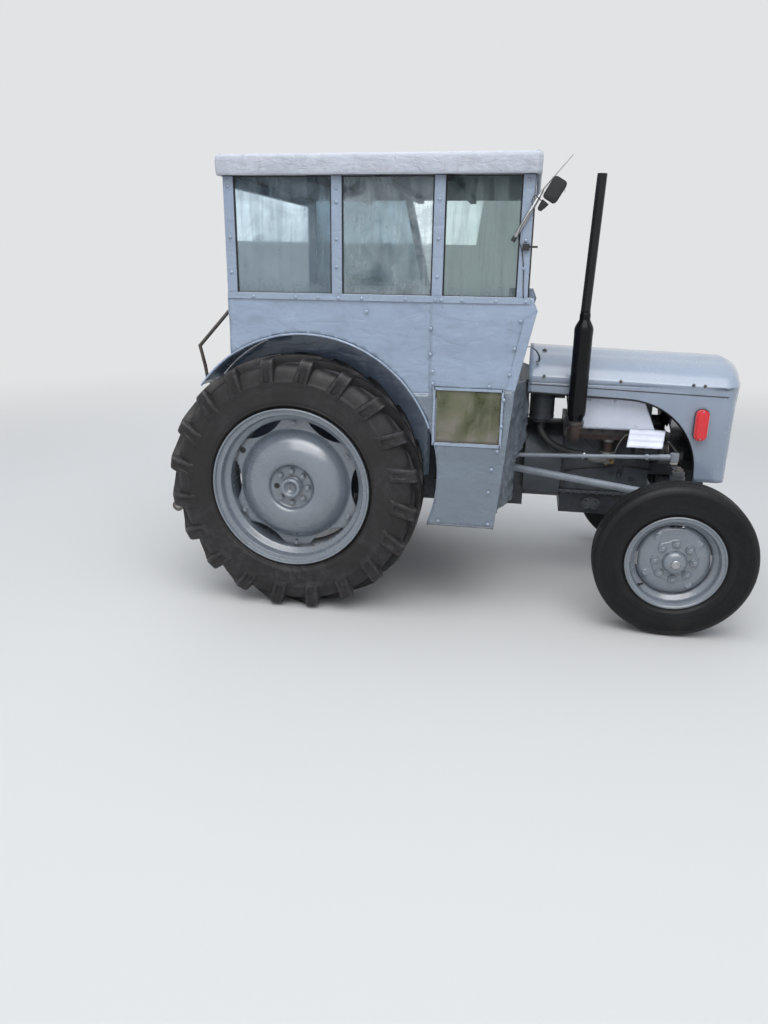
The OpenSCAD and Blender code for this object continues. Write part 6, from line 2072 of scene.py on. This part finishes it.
@dataclass
class RunningGear:
    """Detail on the axles, the steering and the linkage that stays on its own body."""

    wheelbase: float = 1778.0

    def front(self) -> None:
        """Makes bolts and pins of the front axle and the radius rods."""
        bits = Forge()
        for sign in (-1, 1):
            for y in (300, 345):
                bits.bolt((1748, sign * y, 594), (-1, 0, 0), 12, 10, washer=15, tip=7)
                bits.bolt((1808, sign * y, 594), (1, 0, 0), 12, 10, washer=15, tip=7)
            bits.turned_bar((1736, sign * 437, 606), (1730, sign * 437, 606),
                            [(0, 0), (15, 0), (15, 12), (8, 14), (8, 22), (0, 22)], 6)
            bits.bolt((1760, sign * 452, 640), (0, sign, 0), 9, 8, washer=12)
        bits.turned_bar((1700, 0, 594), (1688, 0, 594),
                        [(0, 0), (26, 0), (26, 8), (15, 10), (15, 26), (0, 26)], 6)
        bits.bolt((1968, 0, 660), (1, 0, 0), 14, 10, washer=20, tip=5)
        bits.make("front_axle_bolts", "chassis", "engine_grey", CASTING)
        rods = Forge()
        for sign in (-1, 1):
            rods.turned_bar((950, sign * 250, 668), (1749, sign * 437, 606),
                            [(0, -16), (26, -16), (27, 10), (21, 26), (18.4, 40), (18.2, 760), (20, 774),
                             (21, 800), (15, 818), (0, 818)], 20)
            rods.ball((950, sign * 250, 668), 26, 20)
        rods.make("radius_rod_bars", "chassis", "dirty_steel", ROD, replaces=["radius_rods"], crease=40)

    def steering(self) -> None:
        """Makes the ends of the drag links, the arms' nuts and the white boot."""
        for side in Side:
            sign = side.value
            link = Forge()
            rear, front = Vector((930, sign * 300, 730)), Vector((self.wheelbase, sign * 340, 772))
            span = (front - rear).length
            link.turned_bar(rear, front, [(0, 14), (15, 14), (16, 20), (16, 62), (11, 72), (10, 90),
                                          (10, span - 110), (12, span - 104), (12, span - 74),
                                          (15, span - 68), (15, span - 20), (0, span - 16)], 18)
            link.bolt(rear + (front - rear) * (104 / span), front - rear, 15, 14)
            link.bolt(rear + (front - rear) * ((span - 130) / span), front - rear, 15, 14)
            link.turned_bar(rear, rear + Vector((0, 0, 30)),
                            [(0, -22), (14, -22), (20, -16), (21, 0), (20, 14), (14, 20), (0, 20)], 22)
            link.make(f"drag_link_bar_{side.label}", f"drag_link_{side.label}", "dirty_steel", ROD, crease=35)
            nuts = Forge()
            nuts.mark = 1
            nuts.turned_bar((self.wheelbase, sign * 340, 745), (self.wheelbase, sign * 340, 760),
                            [(0, -6), (17, -6), (19, 0), (17, 8), (13, 12), (0, 12)], 20)
            nuts.mark = 0
            nuts.bolt((self.wheelbase, sign * 340, 758), (0, 0, 1), 13, 11, tip=7)
            nuts.bolt((self.wheelbase, sign * 475, 736), (0, 0, 1), 20, 14, washer=24, tip=7)
            nuts.make(f"steering_arm_nuts_{side.label}", f"knuckle_{side.label}", "dirty_steel", DIRTY_STEEL,
                      BOOT)
            drop = Forge()
            drop.bolt((930, sign * 246, 930), (0, sign, 0), 22, 14, washer=26, tip=8)
            drop.bolt((930, sign * 246, 730), (0, sign, 0), 13, 10, tip=4)
            drop.make(f"drop_arm_nuts_{side.label}", f"drop_arm_{side.label}", "dirty_steel", DIRTY_STEEL)

    def rear(self) -> None:
        """Makes the bolts, covers and pins of the transmission and the linkage."""
        bits = Forge()
        for sign in (-1, 1):
            for off, up in circle(84, 12):
                bits.bolt((off, sign * 176, 615 + up), (0, sign, 0), 9, 9, washer=11)
            for x in range(-150, 180, 62):
                bits.bolt((x, sign * 151, 906), (0, sign, 0), 8, 8, washer=10)
            for x in range(230, 1060, 92):
                bits.bolt((x, sign * 141, 770), (0, sign, 0), 9, 8, washer=11)
            for x in (800, 860, 920, 980, 1040):
                bits.bolt((x, sign * 120, 880), (0, 0, 1), 8, 8, washer=10)
            bits.turned_bar((20, sign * 228, 446), (20, sign * 246, 446),
                            [(0, 0), (9, 0), (9, 18), (7, 20), (0, 20)], 12)
        for y in (-110, -40, 40, 110):
            bits.bolt((-150, y, 929), (0, 0, 1), 9, 9, washer=11)
            bits.bolt((140, y, 929), (0, 0, 1), 9, 9, washer=11)
        for turn in range(0, 360, 60):
            off, up = polar(64, turn)
            bits.bolt((-170, off, 600 + up), (-1, 0, 0), 8, 8, washer=10)
        bits.turned_bar((60, -100, 926), (60, -100, 960),
                        [(0, 0), (22, 0), (22, 10), (15, 12), (15, 26), (0, 26)], 16)
        bits.make("gearbox_bolts", "chassis", "engine_grey", CASTING)
        links = Forge()
        for sign in (-1, 1):
            links.turned_bar((-751, sign * 359, 366), (-751, sign * 360, 366),
                             [(0, -22), (11, -22), (21, -17), (21, 17), (11, 22), (0, 22)], 20)
        links.make("lower_link_balls", "lower_links", "dirty_steel", BRIGHT_STEEL)

    def build(self) -> None:
        """Makes all of it."""
        self.front()
        self.steering()
        self.rear()


@dataclass
class DriverPlace:
    """The dash, the seat and the steering wheel."""

    column_foot: Spot = (830.0, 0.0, 985.0)
    hub: Spot = (565.0, 0.0, 1262.0)
    wheel_radius: float = 208.0

    def dash(self) -> None:
        """Makes the dash panel with plain dials."""
        panel = Forge()
        outline = [(-180, 1003), (180, 1003), (180, 1190), (150, 1226), (-150, 1226), (-180, 1190)]
        panel.prism(outline, 1006, 1020, "yz")
        panel.block((985, -98, 1122), (1007, 98, 1198))
        panel.prism([(-60, 881), (60, 881), (78, 1004), (-78, 1004)], 1008, 1018, "yz")
        for y, z, radius, deep, mark in ((-104, 1152, 34, 9, 1), (0, 1160, 44, 27, 1), (104, 1152, 34, 9, 1),
                                         (-60, 1060, 14, 9, 2), (60, 1060, 14, 9, 2)):
            panel.mark = 0
            panel.turned_bar((1007, y, z), (1000, y, z),
                             [(0, 0), (radius, 0), (radius, deep), (radius - 3, deep + 3), (radius - 5, deep),
                              (0, deep)], 30)
            panel.mark = mark
            panel.turned_bar((1007, y, z), (1000, y, z),
                             [(0, 1), (radius - 5, 1), (radius - 5, deep + 1), (0, deep + 1)], 30)
        panel.make("dash_panel", "chassis", "black_paint", BLACK_PAINT, DIAL_FACE, RED_LENS, bevel=1.2,
                   replaces=["dash"])

    def seat(self) -> None:
        """Makes the pan seat on its spring post."""
        pan = Forge()
        grid = []
        for r in range(13):
            share = r / 12
            row = []
            for k in range(56):
                turn = 2 * math.pi * k / 56
                back = max(0.0, -math.cos(turn))
                radius = mix(14, 222, share) * (1 - 0.10 * ease(0.2, 1.0, math.cos(turn)))
                x = 40 + radius * math.cos(turn)
                rise = 90 * share ** 3.2 * (0.42 + 0.58 * back ** 0.8)
                notch = 26 * math.exp(-((turn if turn < math.pi else turn - 2 * math.pi) / 0.22) ** 2) * share
                row.append((max(-174, min(218, x - notch)), radius * math.sin(turn) * 0.98, 1001 + rise))
            grid.append(row)
        pan.rows(grid, round_rows=True)
        pan.face(tuple(reversed(range(56))))
        rim = grid[-1]
        pan.tube([(x, y, z - 1) for x, y, z in rim], 4.5, 8, closed=True)
        pan.make("seat_pan_sheet", "chassis", "grey_paint", CASTING, replaces=["seat"], skin=3.0, crease=60)
        post = Forge()
        post.turned_bar((60, 0, 928), (60, 0, 1000),
                        [(0, 0), (34, 0), (34, 10), (24, 12), (24, 60), (36, 62), (36, 72), (0, 72)], 28)
        for turn in range(0, 360, 90):
            off, across = polar(30, turn)
            post.bolt((60 + off, across, 940), (0, 0, 1), 6, 5)
        post.make("seat_post", "chassis", "grey_paint", CASTING, crease=30)

    def wheel(self) -> None:
        """Makes the steering wheel with its ribbed rim and three spokes."""
        wheel = Forge()
        foot, hub = Vector(self.column_foot), Vector(self.hub)
        up = (hub - foot).normalized()
        wheel.place = wheel.along(hub, hub + up)
        ring = [(x, y, 0) for x, y in circle(self.wheel_radius, 84)]
        wheel.tube(ring, [11.4 - 0.7 * (k % 2) for k in range(84)], 14, closed=True)
        wheel.lathe([(0, -36), (20, -36), (27, -30), (27, 0), (30, 4), (30, 12), (22, 20), (0, 22)], 28)
        wheel.mark = 1
        for turn in (90, 210, 330):
            spoke = ((20, 2), (90, -6), (160, -5), (204, 0))
            wheel.tube([(*polar(r, turn), z) for r, z in spoke], 6, 10, 0.7)
        wheel.make("steering_wheel_rim", "steering_wheel", "black_plastic", BLACK_PLASTIC, DIRTY_STEEL,
                   replaces=["steering_wheel"], crease=40)

    def build(self) -> None:
        """Makes the driver's place."""
        self.dash()
        self.seat()
        self.wheel()


@dataclass(frozen=True)
class Kept:
    """A CAD node that stays shown: its finish and the rounding of its edges in millimetres."""

    node: str
    finish: Finish
    bevel: float = 1.5

    def dress(self, shape: bpy.types.Object) -> None:
        """Gives the node its finish and soft edges.

        Args:
            shape: The CAD node's object.
        """
        shape.data.materials.clear()
        shape.data.materials.append(self.finish.material())
        shape.data.shade_smooth()
        shape.data.set_sharp_from_angle(angle=math.radians(KEPT_CREASE))
        round_edges(shape, self.bevel, False)
        LOG.info("%s keeps its CAD shape", self.node)


KEPT = (Kept("transmission", CASTING, 3.0), Kept("rear_hitch", CASTING), Kept("engine", CASTING, 2.5),
        Kept("manifold", RUSTY, 2.0), Kept("radiator", BLACK_PAINT), Kept("fuel_tank", TIN, 4.0),
        Kept("fan", CASTING, 1.0), Kept("front_support", CASTING, 2.0), Kept("front_axle", CASTING, 3.0),
        Kept("steering_box", CASTING, 2.0), Kept("levers", DIRTY_STEEL, 1.0), Kept("lift_arms", CASTING, 2.0),
        Kept("lift_rods", DIRTY_STEEL, 0.0), Kept("lower_links", DIRTY_STEEL),
        Kept("battery", BLACK_PLASTIC, 2.0), Kept("knuckle_right", CASTING), Kept("knuckle_left", CASTING),
        Kept("drop_arm_right", CASTING), Kept("drop_arm_left", CASTING), Kept("drag_link_right", ROD, 0.0),
        Kept("drag_link_left", ROD, 0.0))


def save_size(label: str, known: dict) -> None:
    """Args:
        label: The name of this measurement.
        known: Earlier measurements, added to.
    """
    low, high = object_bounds()
    known[label] = {"low": [float(v) for v in low], "high": [float(v) for v in high]}


def main() -> None:
    """Builds the scene."""
    logging.basicConfig(level=logging.INFO, format="%(message)s")
    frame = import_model()
    sizes: dict = {}
    save_size("frame", sizes)
    Studio().build()
    for side in Side:
        RearWheel(side).build()
        FrontWheel(side).build()
        LooseSheet(side).build()
    Cab().build()
    Bonnet().build()
    EngineBay().build()
    RunningGear().build()
    DriverPlace().build()
    for kept in KEPT:
        kept.dress(frame["nodes"][kept.node])
    save_size("scene", sizes)


if __name__ == "__main__":
    main()
